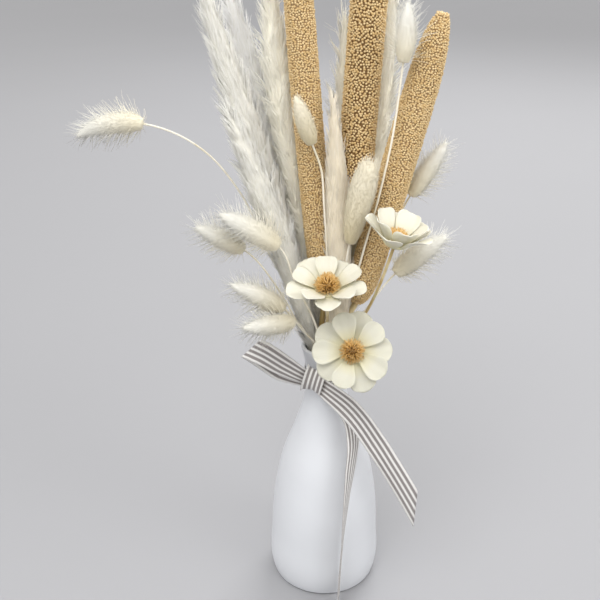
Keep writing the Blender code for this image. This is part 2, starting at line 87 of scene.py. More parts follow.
# The stems cross the throat as a twisted sheaf and stand on the vase's floor.
THROAT_HEIGHT = 180 * MM
MOUTH_HEIGHT = 204 * MM
SHEAF_RADIUS = 10.2 * MM
MILLET_SHEAF_RADIUS = 4 * MM
SHEAF_TWIST = 13.0  # radians of twist for each metre of height
STEM_OVERLAP = 1.5 * MM  # how far a stem reaches into its head

# One stem each: its azimuth in the mouth in degrees from +X, the points its stem bends through, and
# the base, middle and tip of its head, all in mm, with the head's radius.
Grass = namedtuple("Grass", "azimuth via head radius")
MILLETS = (
    Grass(180, (), ((-2.5, 2, 250), (-14, 8.5, 366), (-24, 17, 492)), 10.2),
    Grass(60, (), ((16, 8, 292), (21.2, 16, 385), (28.5, 27, 504)), 12.6),
    Grass(300, (), ((21.5, 2, 240), (44.2, 0, 332), (68.8, -4, 438)), 11.7),
)
PLUMES = (
    Grass(153, (), ((-15, 8, 226), (-50, 11, 345), (-84, 12, 460)), 12),
    Grass(121, (), ((-16, 24, 238), (-48, 47, 368), (-72, 53, 458)), 11.5),
    Grass(172, (), ((-15, -3.5, 224), (-39.5, -14.5, 311), (-66, -22, 382)), 10.5),
    Grass(102, ((-9, 15, 245),), ((-22, 21, 304), (-32.5, 28, 378), (-41, 33, 461)), 11.5),
    Grass(66, (), ((7, 21, 240), (12.5, 40, 350), (10.5, 48, 430)), 11),
    Grass(291, (), ((8, -7, 256), (5.4, -6, 322), (1.8, -2, 386)), 7.4),
    Grass(44, (), ((18, 20, 240), (37, 50.5, 360), (44, 63, 462)), 11),
)
TAILS = (
    Grass(
        137,
        ((-25, 15, 238), (-41.5, 18, 268), (-61.6, 14, 317), (-84.5, 10, 347.5), (-104, 8, 360.5)),
        ((-124, 5, 367.5), (-145, 3, 368), (-167, 0, 360.5)),
        7.2,
    ),
    Grass(
        190,
        ((-21, -9.5, 226), (-34, -16, 255)),
        ((-58, -23, 289), (-73, -27, 299), (-88, -31, 307.5)),
        7,
    ),
    Grass(236, ((-23, -27, 266),), ((-34.5, -34, 296), (-52, -38, 309), (-71, -41, 320)), 8),
    Grass(205, ((-19.7, -17, 227),), ((-31.4, -27, 247), (-48, -32, 259), (-65.5, -37, 269)), 7.3),
    Grass(220, ((-15, -20, 223),), ((-24.5, -32, 239), (-41, -41, 241), (-57.5, -48, 242)), 7.3),
    Grass(
        264,
        ((-1, -10.5, 280), (-3.5, -10, 316), (-5.8, -10, 341)),
        ((-12, -13, 359), (-17, -15, 374), (-22.5, -17, 390)),
        6.6,
    ),
    Grass(307, ((8.5, -12, 228), (11, -16, 266)), ((14, -19, 293), (19, -22, 320), (25, -25, 349)), 9.3),
    Grass(
        337,
        ((24, -12, 284), (32.3, -14, 321), (39.7, -15, 362)),
        ((44.5, -15, 411), (45.5, -16, 428), (45.3, -17, 446)),
        6.6,
    ),
    Grass(26, ((35, 19, 262), (50, 15.5, 298)), ((58, 15, 315), (69.5, 15, 334), (80.5, 16, 352)), 6.8),
    Grass(352, ((27, -11, 238),), ((47, -12, 267), (63, -11, 281), (80.5, -9, 292.5)), 7.8),
)
RIPE_MILLET = 2  # browner than the others, with coarser grains
LEAN_PLUME = 6  # small and broadest low down
SMOOTH_TAILS = (6, 7)  # without long hairs
BRUSH_TAIL = 7  # broadest near its tip
SPARSE_TAIL = 8  # with half as many long hairs
# The cool and cream silks are brighter than the white one: partly their own tones and partly painted light,
# to brighten plumes that stand in shade behind others and the millet.
PLUME_TONES = {2: "cool", 4: "cream", 5: "cream", 6: "ivory", 7: "cream"}  # the others are white
# How loose a plume's silk is, and how wide its core is for the head's radius.
PLUME_FLUFF = {4: (1.3, 0.74), 5: (1.5, 0.66), 6: (0.42, 1.16), 7: (1.5, 0.66)}
USUAL_FLUFF = (0.72, 0.8)

# The outline of a head: how full it is at its base, how far along it is fullest, how full it is at its
# tip, and how bluntly it rounds off.
MILLET_OUTLINE = (0.45, 0.35, 0.3, 8)
PLUME_OUTLINE = (0.58, 0.5, 0.1, 1.8)
LEAN_PLUME_OUTLINE = (0.9, 0.35, 0.08, 1.5)
TAIL_OUTLINE = (0.62, 0.34, 0.15, 2.3)
BRUSH_TAIL_OUTLINE = (0.5, 0.66, 0.55, 2.3)
GRAIN_HEIGHT = 1.85 * MM
# How coarse a head's grains are, and how far they broaden to close the gaps between them.
RIPE_GRAINS = (1.16, 1.14)
USUAL_GRAINS = (1.0, 1.24)
HAIR_ROOM = 1.1 * MM  # what a tail's core leaves of its radius for the short hairs
FULL_SILK_RADIUS = 11 * MM  # the radius of a plume whose strands have their full length
PER_SQUARE_CM = 1e4  # on a square metre
# How thick each kind of stem is, as a radius.
MILLET_STEM = 2.5 * MM
PLUME_STEM = 1.15 * MM
TAIL_STEM = 0.75 * MM
FLOWER_STEM = 1.1 * MM

# The flowers: the azimuth of the stem in the mouth, the point that the stem bends through, the centre
# of the petals, the way the flower faces, how far it is turned about that, how far its two tiers of
# petals rise, in degrees, the size of its petals, and how wide they are for their length.
Bloom = namedtuple("Bloom", "azimuth via centre facing turn rise size breadth")
FLOWERS = (
    Bloom(249, (-1, -26, 236), (-1.6, -46, 270.6), (-0.02, -0.3, 0.95), 199, (29, 41), 1.09, 0.95),
    Bloom(278, (4, -20, 212), (15.3, -54, 228), (-0.05, -0.86, 0.5), 0, (9, 18), 1.1, 1.0),
    Bloom(322, (25, -24, 240), (42, -42, 301.5), (0.24, -0.1, 0.96), 25, (51, 66), 1.07, 1.0),
)
# The front flower's petals are darker and duller: partly their own tone and partly painted shade, as they
# face the lights.
FRONT_FLOWER = 2  # in a duller ivory
TALL_FLOWER = 1  # with a taller centre than the others
PETALS_IN_TIER = 5
PETAL_ROOT = 6.5 * MM
# How wide a petal is at a share of its length, as a share of its greatest width.
PETAL_OUTLINE = ((0, 0.34), (0.24, 0.62), (0.5, 0.9), (0.74, 1), (0.91, 0.87), (1, 0.56))
TIER_LEVELS = (-2.2 * MM, -1.2 * MM)
PETAL_SCATTER = 4  # degrees that a petal may stray by, round the flower and in its rise
DISC_RADIUS = 8.4 * MM
DISC_DEPTH = 3.2 * MM
# How deep and how wide the disc is, from under it to its top, as shares of its depth and radius.
DISC_PROFILE = ((1, 0.01), (1, 0.35), (0.8, 0.62), (0.55, 0.85), (0.2, 0.98), (0, 1), (0, 0.01))
CENTRE_RADIUS = 6.3 * MM
CENTRE_HEIGHT = 6.8 * MM
CENTRE_CORE = 0.7  # how much of a centre its dome takes, and the bristles the rest

# The ribbon, as points in mm along each length of it, with its width there and the way across it.
BAND_LEVELS = (176, 186)
BAND_PADDING = 0.6 * MM
KNOT_CENTRE = (-9.2, -19.5, 185.8)
KNOT_FACING = (-0.24, -0.97, 0)
KNOT_SIZE = (15, 9.8, 7.5)  # its width, half its height and how far it bulges, in mm
KNOT_LEAN = 0.24  # how far aside it goes for its height
CLOTH_CELLS = 14  # across the ribbon's width
LOOP = (
    (-13, -19.5, 186, 10),
    (-31, -25, 200, 17),
    (-47, -25, 211, 20),
    (-54.5, -20, 212, 20),
    (-47, -15, 203, 20),
    (-31, -15.5, 190, 18),
    (-13, -17, 182.5, 10),
)
LOOP_ACROSS = (0.72, 0, 0.7)
STRIPES = 9
WIDE_TAIL = (
    (-8, -20, 183.5, 12, (0.5, 0, 0.87)),
    (2, -30, 180.5, 15, (0.5, 0, 0.87)),
    (14, -36, 172.5, 17, (0.6, 0, 0.8)),
    (37, -40, 141, 17, (0.81, 0, 0.59)),
    (46.6, -40.5, 124.8, 16.5, (0.87, 0, 0.49)),
    (67.5, -41, 85.9, 16.5, (0.88, 0, 0.47)),
)
WIDE_TAIL_CUT = 14.6  # mm that one corner of its slanting end stands ahead of the middle
NARROW_TAIL = (
    (-7, -18.5, 184, 8, (0.55, 0.1, 0.83)),
    (6, -22, 170, 9, (0.6, 0.35, 0.72)),
    (16, -26.5, 157, 11, (0.62, 0.7, 0.35)),
    (19.5, -31, 143, 17, (0.55, 0.83, 0.06)),
    (18, -38, 122, 20, (0.45, 0.89, 0)),
    (15.2, -46, 98, 20, (0.3, 0.95, 0)),
    (12.5, -52, 62, 20, (0.15, 0.99, 0)),
    (11, -53.5, 32, 20, (0.13, 0.99, 0)),
    (10.4, -54, 4, 20, (0.12, 0.99, 0)),
)

# Each light's name, kind, place, size (an angle for the sun, otherwise metres) and power.
LIGHTS = (
    ("key", "SUN", (-0.45, -1.0, 2.0), math.radians(40), 1.2),
    ("top", "AREA", (-0.15, -0.6, 0.95), 0.6, 2.2),
    ("left", "AREA", (-0.85, -0.4, 0.45), 0.5, 0.4),
    ("right", "AREA", (0.55, -0.35, 0.85), 0.4, 1.5),
    ("fill", "AREA", (1.9, -1.6, 1.2), 1.6, 10),
    ("rim", "AREA", (0.7, 1.7, 1.9), 1.4, 30),
)
LIGHTS_AIM = (0, 0, 0.3)
SKY_STRENGTH = 0.9
FLOOR_REACH = 9


def linear(hex_colour):
    """An sRGB hex colour as the linear one that Blender works in."""
    found = []
    for i in (0, 2, 4):
        value = int(hex_colour[i : i + 2], 16) / 255
        found.append(value / 12.92 if value <= 0.04045 else ((value + 0.055) / 1.055) ** 2.4)
    return (*found, 1.0)


def colour(name, description, hex_colour):
    return FloatVectorProperty(
        name=name, description=description, subtype="COLOR", size=4, min=0, max=1,
        default=linear(hex_colour),
    )


def length(name, description, metres):
    return FloatProperty(
        name=name, description=description, unit="LENGTH", precision=5, min=0, default=metres
    )


def count(name, description, number, least=1):
    return IntProperty(name=name, description=description, min=least, default=number)


class VaseSettings(bpy.types.PropertyGroup):
    wall: length("Wall", "Thickness of the fired wall", 3 * MM)
    sides: count("Sides", "Facets round the vase", 96, 32)
    glaze: colour("Glaze", "Matte white glaze", "D6D8DC")


class RibbonSettings(bpy.types.PropertyGroup):
    width: length("Width", "Width of the ribbon where it lies flat", 20 * MM)
    thickness: length("Thickness", "Thickness of the cloth", 0.5 * MM)
    thread: length("Thread pitch", "Distance from one thread to the next, drawn coarse to show", 0.5 * MM)
    white: colour("White stripe", "Colour of the five pale stripes", "E7E5E2")
    grey: colour("Grey stripe", "Colour of the four dark stripes", "8C8684")


class MilletSettings(bpy.types.PropertyGroup):
    spacing: length("Grain spacing", "Least distance from one grain to the next", 1.16 * MM)
    grain: length("Grain", "Width of one grain", 1.5 * MM)
    tip: colour("Grain tip", "Colour of the outer end of a grain", "DEC595")
    # The foot and core colours are partly the grains' and spike's own tan and brown, and partly painted
    # shade in the gaps between the grains.
    ripe_foot: colour("Ripe foot", "Foot of the middle head's grains", "BC9A68")
    ripe_core: colour("Ripe core", "Dark gaps of the middle head", "8A6A42")
    pale_foot: colour("Pale foot", "Foot of the outer heads' grains", "D9BC8E")
    pale_core: colour("Pale core", "Gaps of the outer heads", "B99B72")


class PlumeSettings(bpy.types.PropertyGroup):
    strands: count("Strands", "Strands on each square centimetre", 33)
    reach: length("Strand length", "Length of a silky strand", 15 * MM)
    thickness: length("Strand thickness", "Thickness of a strand at its root", 0.55 * MM)
    # The cool and cream silks are brighter than the white: partly their own tones and partly painted light
    # for the plumes that stand in shade.
    white: colour("White silk", "Silk of the outer left plumes", "F0EEE6")
    cool: colour("Cool silk", "Coolest silk, of the plume at the back left", "F8F7F5")
    cream: colour("Cream silk", "Brighter, creamier silk of the plumes beside the millet", "FFFBEC")
    ivory: colour("Ivory silk", "Yellowish silk of the sixth plume", "EDE2CD")


class TailSettings(bpy.types.PropertyGroup):
    strands: count("Hairs", "Short hairs on each square centimetre", 70)
    reach: length("Short hair", "Length of the dense short hairs", 4.5 * MM)
    awn: length("Long hair", "Length of the sparse long hairs", 15 * MM)
    thickness: length("Hair thickness", "Thickness of a hair at its root", 0.3 * MM)
    tip: colour("Hair tip", "Colour of the hairs near the head's tip", "E8E6DD")
    root: colour("Head base", "Colour of the hairs near the head's base", "EAE2CA")
    cream_tip: colour("Cream tip", "Hair tip of the two middle heads", "E4DCC6")
    cream_root: colour("Cream base", "Head base of the two middle heads", "CDC1A0")


class FlowerSettings(bpy.types.PropertyGroup):
    petal_length: length("Petal length", "Length of a petal from the disc's edge", 20 * MM)
    petal_width: length("Petal width", "Width of a petal where it is broadest", 16.5 * MM)
    petal_thickness: length("Petal thickness", "Thickness of a petal", 0.6 * MM)
    petal_curl: FloatProperty(name="Petal curl", description="Degrees a petal bends back", default=26)
    bristles: count("Bristles", "Bristles on each square centimetre", 260)
    bristle_length: length("Bristle length", "Length of a bristle", 5.4 * MM)
    bristle_thickness: length("Bristle thickness", "Thickness of a bristle at its root", 0.55 * MM)
    petal: colour("Petal", "Ivory of the petals", "DBD8C9")
    # A darker copy of the petal ivory for the front flower: partly a duller tone and partly painted shade,
    # as it faces the lights.
    front_petal: colour("Front petal", "Duller ivory of the front flower", "CBC9BA")
    # Darker and yellower towards a petal's root: partly the pith's own tone and partly painted shade.
    petal_shade: colour("Petal base", "Yellower tone towards a petal's root", "CBC59E")
    bristle: colour("Bristle", "Golden brown of the centre", "D9A955")
    bristle_tip: colour("Bristle tip", "Reddish tips of some bristles", "AE7636")


class StemSettings(bpy.types.PropertyGroup):
    straw: colour("Straw", "Pale side of a dry stem", "D8C79A")
    olive: colour("Olive", "Green left in a dry stem", "8F8A5B")
    bleached: colour("Bleached straw", "Stems of the plumes and bunny tails", "EFE9DA")


class StageSettings(bpy.types.PropertyGroup):
    floor: colour("Floor", "Plain pale floor", "9E9EA1")


GROUPS = {
    "vase": VaseSettings,
    "ribbon": RibbonSettings,
    "millet": MilletSettings,
    "plume": PlumeSettings,
    "tail": TailSettings,
    "flower": FlowerSettings,
    "stem": StemSettings,
    "stage": StageSettings,
}


def settings(name):
    return getattr(bpy.context.scene, "dried_" + name)


def mm(point):
    return Vector(point) * MM


def curve(points, steps, start=None, end=None):
    """Points of a smooth curve through the given ones, with so many steps in each stretch.

    Start and end are the directions that it leaves and arrives in, where they are given.
    """
    points = [Vector(point) for point in points]
    spans = [b - a for a, b in zip(points, points[1:])]
    lengths = [span.length for span in spans]
    slopes = [spans[0] / lengths[0]]
    for i in range(1, len(spans)):
        before, after = spans[i - 1] / lengths[i - 1], spans[i] / lengths[i]
        slopes.append((before * lengths[i] + after * lengths[i - 1]) / (lengths[i - 1] + lengths[i]))
    slopes.append(spans[-1] / lengths[-1])
    if len(spans) > 1 and start is None:
        slopes[0] = 2 * slopes[0] - slopes[1]
    if len(spans) > 1 and end is None:
        slopes[-1] = 2 * slopes[-1] - slopes[-2]
    if start is not None:
        slopes[0] = start.normalized()
    if end is not None:
        slopes[-1] = end.normalized()
    found = [points[0]]
    for i, span in enumerate(lengths):
        for step in range(1, steps + 1):
            t = step / steps
            found.append(
                points[i] * (2 * t**3 - 3 * t**2 + 1)
                + slopes[i] * span * (t**3 - 2 * t**2 + t)
                + points[i + 1] * (3 * t**2 - 2 * t**3)
                + slopes[i + 1] * span * (t**3 - t**2)
            )
    return found


def frames(route):
    """For each point of a route: the point, two directions across it, and the way ahead."""
    ahead = []
    for i in range(len(route)):
        ahead.append((route[min(i + 1, len(route) - 1)] - route[max(i - 1, 0)]).normalized())
    side = Vector((1, 0, 0)) - ahead[0] * ahead[0].x
    side.normalize()
    found = []
    for i, point in enumerate(route):
        if i:
            side = ahead[i - 1].rotation_difference(ahead[i]) @ side
        found.append((point, side, ahead[i].cross(side), ahead[i]))
    return found


def blend(values, steps):
    """The values, with steps - 1 even ones between each two."""
    found = [values[0]]
    for a, b in zip(values, values[1:]):
        found += [a + (b - a) * step / steps for step in range(1, steps + 1)]
    return found


def swell(t, base, peak, tip, fullness):
    """How full a head is, from 0 to 1, along its length: base at t = 0, 1 at the peak, tip at t = 1."""
    if t < peak:
        return 1 - (1 - base) * ((peak - t) / peak) ** fullness
    return 1 - (1 - tip) * ((t - peak) / (1 - peak)) ** fullness


def read_line(line, x):
    """The y of a line of points where its x is the given one."""
    for a, b in zip(line, line[1:]):
        if a.x <= x <= b.x:
            return a.y + (b.y - a.y) * (x - a.x) / (b.x - a.x)
    return line[-1].y


def arc(start, step, steps):
    """The cosine and sine of so many angles, each a step past the one before, in degrees."""
    angles = [math.radians(start + step * i) for i in range(steps)]
    return [(math.cos(angle), math.sin(angle)) for angle in angles]


class Shape:
    """Points and faces of one piece, gathered before they become a mesh.

    Each point has the way ahead along its part, a place from 0 at its base to 1 at its tip, a vigour,
    which says how densely strands grow there, and a growth, which says how long they are.
    """

    def __init__(self):
        self.points = []
        self.faces = []
        self.finishes = []
        self.ahead = []
        self.place = []
        self.vigour = []
        self.growth = []

    def add_point(self, point, ahead=(0, 0, 1), place=0.0, vigour=0.0, growth=1.0):
        self.points.append(point)
        self.ahead.append(ahead)
        self.place.append(place)
        self.vigour.append(vigour)
        self.growth.append(growth)
        return len(self.points) - 1

    def add_face(self, corners, finish=0):
        self.faces.append(corners)
        self.finishes.append(finish)

    def join(self, rings, finish=0):
        """Faces from each ring of points to the next. A ring that has shrunk to a point repeats it."""
        for low, high in zip(rings, rings[1:]):
            for i in range(len(low)):
                k = (i + 1) % len(low)
                corners = dict.fromkeys((low[i], low[k], high[k], high[i]))
                self.add_face(tuple(corners), finish)

    def slab(self, front, back):
        """Faces on both sides of a sheet and along its edges, from a grid of points for each side."""
        last, edge = len(front) - 1, len(front[0]) - 1
        for i in range(last):
            for j in range(edge):
                self.add_face((front[i][j], front[i][j + 1], front[i + 1][j + 1], front[i + 1][j]))
                self.add_face((back[i][j], back[i + 1][j], back[i + 1][j + 1], back[i][j + 1]))
            self.add_face((front[i][0], front[i + 1][0], back[i + 1][0], back[i][0]))
            self.add_face((front[i][edge], back[i][edge], back[i + 1][edge], front[i + 1][edge]))
        for j in range(edge):
            self.add_face((front[0][j], back[0][j], back[0][j + 1], front[0][j + 1]))
            self.add_face((front[last][j], front[last][j + 1], back[last][j + 1], back[last][j]))

    def tube(self, route, radius, sides, finish, vigour=lambda t: 0.0, growth=lambda t: 1.0):
        """A closed tube along frames, whose radius, vigour and growth follow t from 0 to 1."""
        rings = []
        for j, (point, side, up, ahead) in enumerate(route):
            t = j / (len(route) - 1)
            spots = [point + (side * x + up * y) * radius(t) for x, y in arc(0, 360 / sides, sides)]
            rings.append([self.add_point(spot, ahead, t, vigour(t), growth(t)) for spot in spots])
        self.join(rings, finish)
        for t, turn in ((0, -1), (1, 1)):
            point, _, _, ahead = route[-t]
            middle = self.add_point(point, ahead, t, vigour(t), growth(t))
            ring = rings[-t]
            for i in range(sides):
                self.add_face((ring[i], ring[(i + turn) % sides], middle), finish)

    def piece(self, name, materials):
        mesh = bpy.data.meshes.new(name)
        mesh.from_pydata(self.points, [], self.faces)
        for material in materials:
            mesh.materials.append(material)
        mesh.polygons.foreach_set("material_index", self.finishes)
        for kind in ("place", "vigour", "growth"):
            values = getattr(self, kind)
            mesh.attributes.new(kind, "FLOAT", "POINT").data.foreach_set("value", values)
        flat = [number for vector in self.ahead for number in vector]
        mesh.attributes.new("ahead", "FLOAT_VECTOR", "POINT").data.foreach_set("vector", flat)
        mesh.shade_smooth()
        made = bpy.data.objects.new(name, mesh)
        bpy.context.scene.collection.objects.link(made)
        return made


def add_node(tree, kind, sockets=(), output=0, **choices):
    """Adds a node, makes its choices, sets or links its sockets, and returns one of its outputs.

    The sockets are given by name, or in the order shown with None for one that stays as it is. All that
    a list holds is linked to its one socket.
    """
    made = tree.nodes.new(kind)
    for name, value in choices.items():
        setattr(made, name, value)
    shown = [socket for socket in made.inputs if socket.enabled]
    if isinstance(sockets, dict):
        named = {socket.name: socket for socket in reversed(shown)}
        pairs = [(named[name], value) for name, value in sockets.items()]
    else:
        pairs = [pair for pair in zip(shown, sockets) if pair[1] is not None]
    for socket, value in pairs:
        for each in value if isinstance(value, list) else [value]:
            if isinstance(each, bpy.types.NodeSocket):
                tree.links.new(each, socket)
            else:
                socket.default_value = each
    outputs = [socket for socket in made.outputs if socket.enabled]
    if not outputs:
        return None
    return outputs[output] if isinstance(output, int) else made.outputs[output]


def chain(add, kind, value, *steps):
    """Passes a value through nodes of a kind, each step an operation and what else it works on."""
    for operation, *others in steps:
        value = add(kind, (value, *others), operation=operation)
    return value


def layered(add, tone, *layers):
    """A tone with others laid over it, where a pattern rises from one value to another.

    Each layer is the pattern, its two values, how much the layer hides at most, and its tone.
    """
    for pattern, low, high, most, over in layers:
        share = add("ShaderNodeMapRange", (pattern, low, high, 0.0, most))
        tone = add("ShaderNodeMix", (share, tone, over), data_type="RGBA")
    return tone


def new_material(name, *attributes):
    """A material with an empty tree, what adds a node to that tree, and the attributes it reads."""
    made = bpy.data.materials.new(name)
    made.use_nodes = True
    made.node_tree.nodes.clear()
    add = partial(add_node, made.node_tree)
    read = [add("ShaderNodeAttribute", output="Fac", attribute_name=each) for each in attributes]
    return made, add, *read


def shared_material(maker, name, *words):
    """The material of that name, made once."""
    return bpy.data.materials.get(name) or maker(name, *words)


def finish_material(add, values, bump=None, strength=0.3, distance=0.2 * MM):
    """Ends a material's tree in a Principled shader, with a bump where one is given."""
    if bump is not None:
        sockets = {"Strength": strength, "Distance": distance, "Height": bump}
        values = {**values, "Normal": add("ShaderNodeBump", sockets)}
    shader = add("ShaderNodeBsdfPrincipled", values)
    add("ShaderNodeOutputMaterial", {"Surface": shader})


def darkened(tone, share):
    """A colour with each of its parts cut to a share."""
    return (*(value * share for value in tone[:3]), 1.0)


def glazed_stoneware(name):
    """Stoneware under a matte glaze: smooth and cool white, with a broad soft highlight.

    Its faint clouds are 56 mm across, its duller patches 17 mm, and its dimples 1.9 mm, which is coarser
    than real ones, so that they show.
    """
    made, add = new_material(name)
    base = settings("vase").glaze
    place = add("ShaderNodeTexCoord", output="Object")
    cloud = add("ShaderNodeTexNoise", {"Vector": place, "Scale": 1 / (55.6 * MM), "Detail": 3.0})
    tone = layered(add, base, (cloud, 0.35, 0.65, 1.0, darkened(base, 0.95)))
    worn = add("ShaderNodeTexNoise", {"Vector": place, "Scale": 1 / (16.7 * MM)})
    rough = add("ShaderNodeMapRange", (worn, 0.3, 0.7, 0.4, 0.5))
    dimples = add("ShaderNodeTexNoise", {"Vector": place, "Scale": 1 / (1.92 * MM)})
    values = {"Base Color": tone, "Roughness": rough, "Coat Weight": 0.12, "Coat Roughness": 0.35}
    finish_material(add, values, dimples, 0.05, 0.15 * MM)
    return made


def woven_ribbon(name):
    """Plain-woven cotton with lengthwise stripes: five white and four grey, as wide as each other.

    Its threads are drawn coarser than real ones, so that the weave shows, and the cloth is darkened where
    they dip: painted shade between the threads. A stripe's edge wanders a little every 2.5 mm.
    """
    made, add = new_material(name)
    options = settings("ribbon")
    uv = add("ShaderNodeUVMap", uv_map="UVMap")
    across = add("ShaderNodeSeparateXYZ", (uv,), "X")
    along = add("ShaderNodeSeparateXYZ", (uv,), "Y")
    place = add("ShaderNodeTexCoord", output="Object")
    wobble = add("ShaderNodeTexNoise", {"Vector": place, "Scale": 1 / (2.5 * MM)})
    wobble = add("ShaderNodeMath", (wobble, 0.012, -0.006), operation="MULTIPLY_ADD")
    wave = chain(
        add, "ShaderNodeMath", across, ("ADD", wobble), ("MULTIPLY", math.pi * STRIPES), ("SINE",)
    )
    stripe = add("ShaderNodeMapRange", (wave, -0.2, 0.5), interpolation_type="SMOOTHSTEP")
    threads = 2 * math.pi / options.thread
    warp = chain(add, "ShaderNodeMath", across, ("MULTIPLY", threads * options.width), ("SINE",))
    weft = chain(add, "ShaderNodeMath", along, ("MULTIPLY", threads), ("SINE",))
    weave = add("ShaderNodeMath", (warp, weft), operation="MULTIPLY")
    tone = add("ShaderNodeMix", (stripe, options.grey, options.white), data_type="RGBA")
    # Where the weave dips, the cloth is darkened by up to 14%: painted shade between the threads.
    shade = add("ShaderNodeMapRange", (weave, -1.0, 1.0, 0.86, 1.0))
    tone = add("ShaderNodeMix", (1.0, tone, shade), data_type="RGBA", blend_type="MULTIPLY")
    values = {"Base Color": tone, "Roughness": 0.85, "Sheen Weight": 0.25, "Sheen Roughness": 0.5}
    finish_material(add, values, weave, 0.35, 0.12 * MM)
    return made


def dried_straw(name, base, streak_size, start, streaked, green=None):
    """Dried straw: a satin skin with darker streaks along it, and patches where green is left.

    The streaks start from the given width, with finer ones in them, and the patches are 33 mm long.
    """
    made, add = new_material(name)
    place = add("ShaderNodeTexCoord", output="Object")
    drawn_out = add("ShaderNodeMapping", {"Vector": place, "Scale": (1, 1, 0.06)})
    streak = add("ShaderNodeTexNoise", {"Vector": drawn_out, "Scale": 1 / streak_size, "Detail": 3.0})
    tone = layered(add, base, (streak, start, start + 0.2, 1.0, streaked))
    if green:
        patch = add("ShaderNodeTexNoise", {"Vector": place, "Scale": 1 / (33.3 * MM)})
        tone = layered(add, tone, (patch, 0.5, 0.68, 0.75, green))
    finish_material(add, {"Base Color": tone, "Roughness": 0.5}, streak)
    return made


def golden_straw():
    """Sun-dried straw of the millet and the flowers: pale gold with brown streaks and some olive."""
    options = settings("stem")
    words = (options.straw, 6.25 * MM, 0.42, linear("B39457"), options.olive)
    return shared_material(dried_straw, "sun dried straw", *words)


def bleached_straw():
    """Straw bleached with its plume or tail: nearly white, with faint tan streaks."""
    words = (settings("stem").bleached, 5.56 * MM, 0.45, linear("E2D9C0"))
    return shared_material(dried_straw, "bleached straw", *words)


def dried_grain(name, foot):
    """Air-dried millet grain: each is darker at its foot, partly its own tone and partly painted shade
    where the grains crowd, and pale tan at its dome.
    """
    made, add, along, shade = new_material(name, "along", "shade")
    dome = layered(add, settings("millet").tip, (shade, 0.3, 1.0, 1.0, linear("C6A670")))
    # Darker towards each grain's foot: partly its own tone and partly painted shade where the grains crowd.
    tone = layered(add, foot, (along, 0.3, 0.8, 1.0, dome))
    finish_material(add, {"Base Color": tone, "Roughness": 0.62})
    return made


def dried_spike(name, core):
    """The dried spike that the grains stand on, mottled every 2 mm and seen only in dark gaps: its dark
    brown is partly its own and partly painted shade.
    """
    made, add = new_material(name)
    place = add("ShaderNodeTexCoord", output="Object")
    cloud = add("ShaderNodeTexNoise", {"Vector": place, "Scale": 1 / (2 * MM)})
    # The spike's dark brown is partly its own colour and partly painted shade for the gaps between the
    # grains.
    tone = add("ShaderNodeMix", (cloud, core, darkened(core, 0.7)), data_type="RGBA")
    finish_material(add, {"Base Color": tone, "Roughness": 0.9})
    return made


def bleached_silk(name, silk):
    """Bleached plume silk: bright and fine, a little warmer and darker where a strand leaves the core:
    painted shade deep in the silk, with a warmer tone.
    """
    made, add, along, shade = new_material(name, "along", "shade")
    # The root is a warmer, slightly darker copy of the silk: painted shade deep in the plume, with a warmer
    # tone.
    root = (silk[0] * 0.95, silk[1] * 0.94, silk[2] * 0.9, 1.0)
    faded = (shade, 0.6, 1.0, 0.3, linear("EAE7DF"))
    tone = layered(add, root, (along, 0.0, 0.4, 1.0, silk), faded)
    values = {"Base Color": tone, "Roughness": 0.5, "Sheen Weight": 0.4, "Sheen Roughness": 0.4}
    finish_material(add, values)
    return made


def bleached_hair(name, root, tip):
    """Bleached bunny tail hair: cream near the base of the head and whiter at its tip."""
    made, add, place, shade = new_material(name, "place", "shade")
    faded = (shade, 0.5, 1.0, 0.15, linear("E0D9C4"))
    tone = layered(add, root, (place, 0.1, 0.75, 1.0, tip), faded)
    values = {"Base Color": tone, "Roughness": 0.6, "Sheen Weight": 0.4, "Sheen Roughness": 0.4}
    finish_material(add, values)
    return made


def shaved_petal(name, petal):
    """Shaved pith: ivory, matte and papery, with faint veins along it and a yellower, darker root: partly
    the pith's own tone and partly painted shade where the petals crowd by the disc.

    The veins are 0.32 mm apart. Across a petal, the map runs from -1 to 1 at its broadest.
    """
    made, add = new_material(name)
    options = settings("flower")
    uv = add("ShaderNodeUVMap", uv_map="UVMap")
    stretched = add("ShaderNodeMapping", {"Vector": uv, "Scale": (1, 0.08, 1)})
    veins_across = options.petal_width / 2 / (0.317 * MM)
    veins = add("ShaderNodeTexNoise", {"Vector": stretched, "Scale": veins_across})
    along = add("ShaderNodeSeparateXYZ", (uv,), "Y")
    veined = (veins, 0.5, 0.75, 0.3, linear("C9C6B3"))
    # Towards the root the petal is darker and yellower: partly its own tone and partly painted shade.
    tone = layered(add, options.petal_shade, (along, 0.0, 0.55, 1.0, petal), veined)
    values = {
        "Base Color": tone, "Roughness": 0.7, "Subsurface Weight": 0.15,
        "Subsurface Radius": (0.6, 0.55, 0.4), "Subsurface Scale": 2 * MM,
    }
    finish_material(add, values, veins, 0.35, 0.25 * MM)
    return made


def dyed_bristle(name):
    """Stiff dyed bristles: golden brown with reddish tips, and painted shade at their roots, where they
    stand close.
    """
    made, add, along, shade = new_material(name, "along", "shade")
    options = settings("flower")
    tip = layered(add, linear("F0D094"), (shade, 0.5, 1.0, 1.0, options.bristle_tip))
    shaft = (along, 0.1, 0.6, 1.0, options.bristle)
    # The dark brown at the roots is painted shade where the bristles stand close.
    tone = layered(add, linear("8F662C"), shaft, (along, 0.6, 1.0, 1.0, tip))
    finish_material(add, {"Base Color": tone, "Roughness": 0.6})
    return made


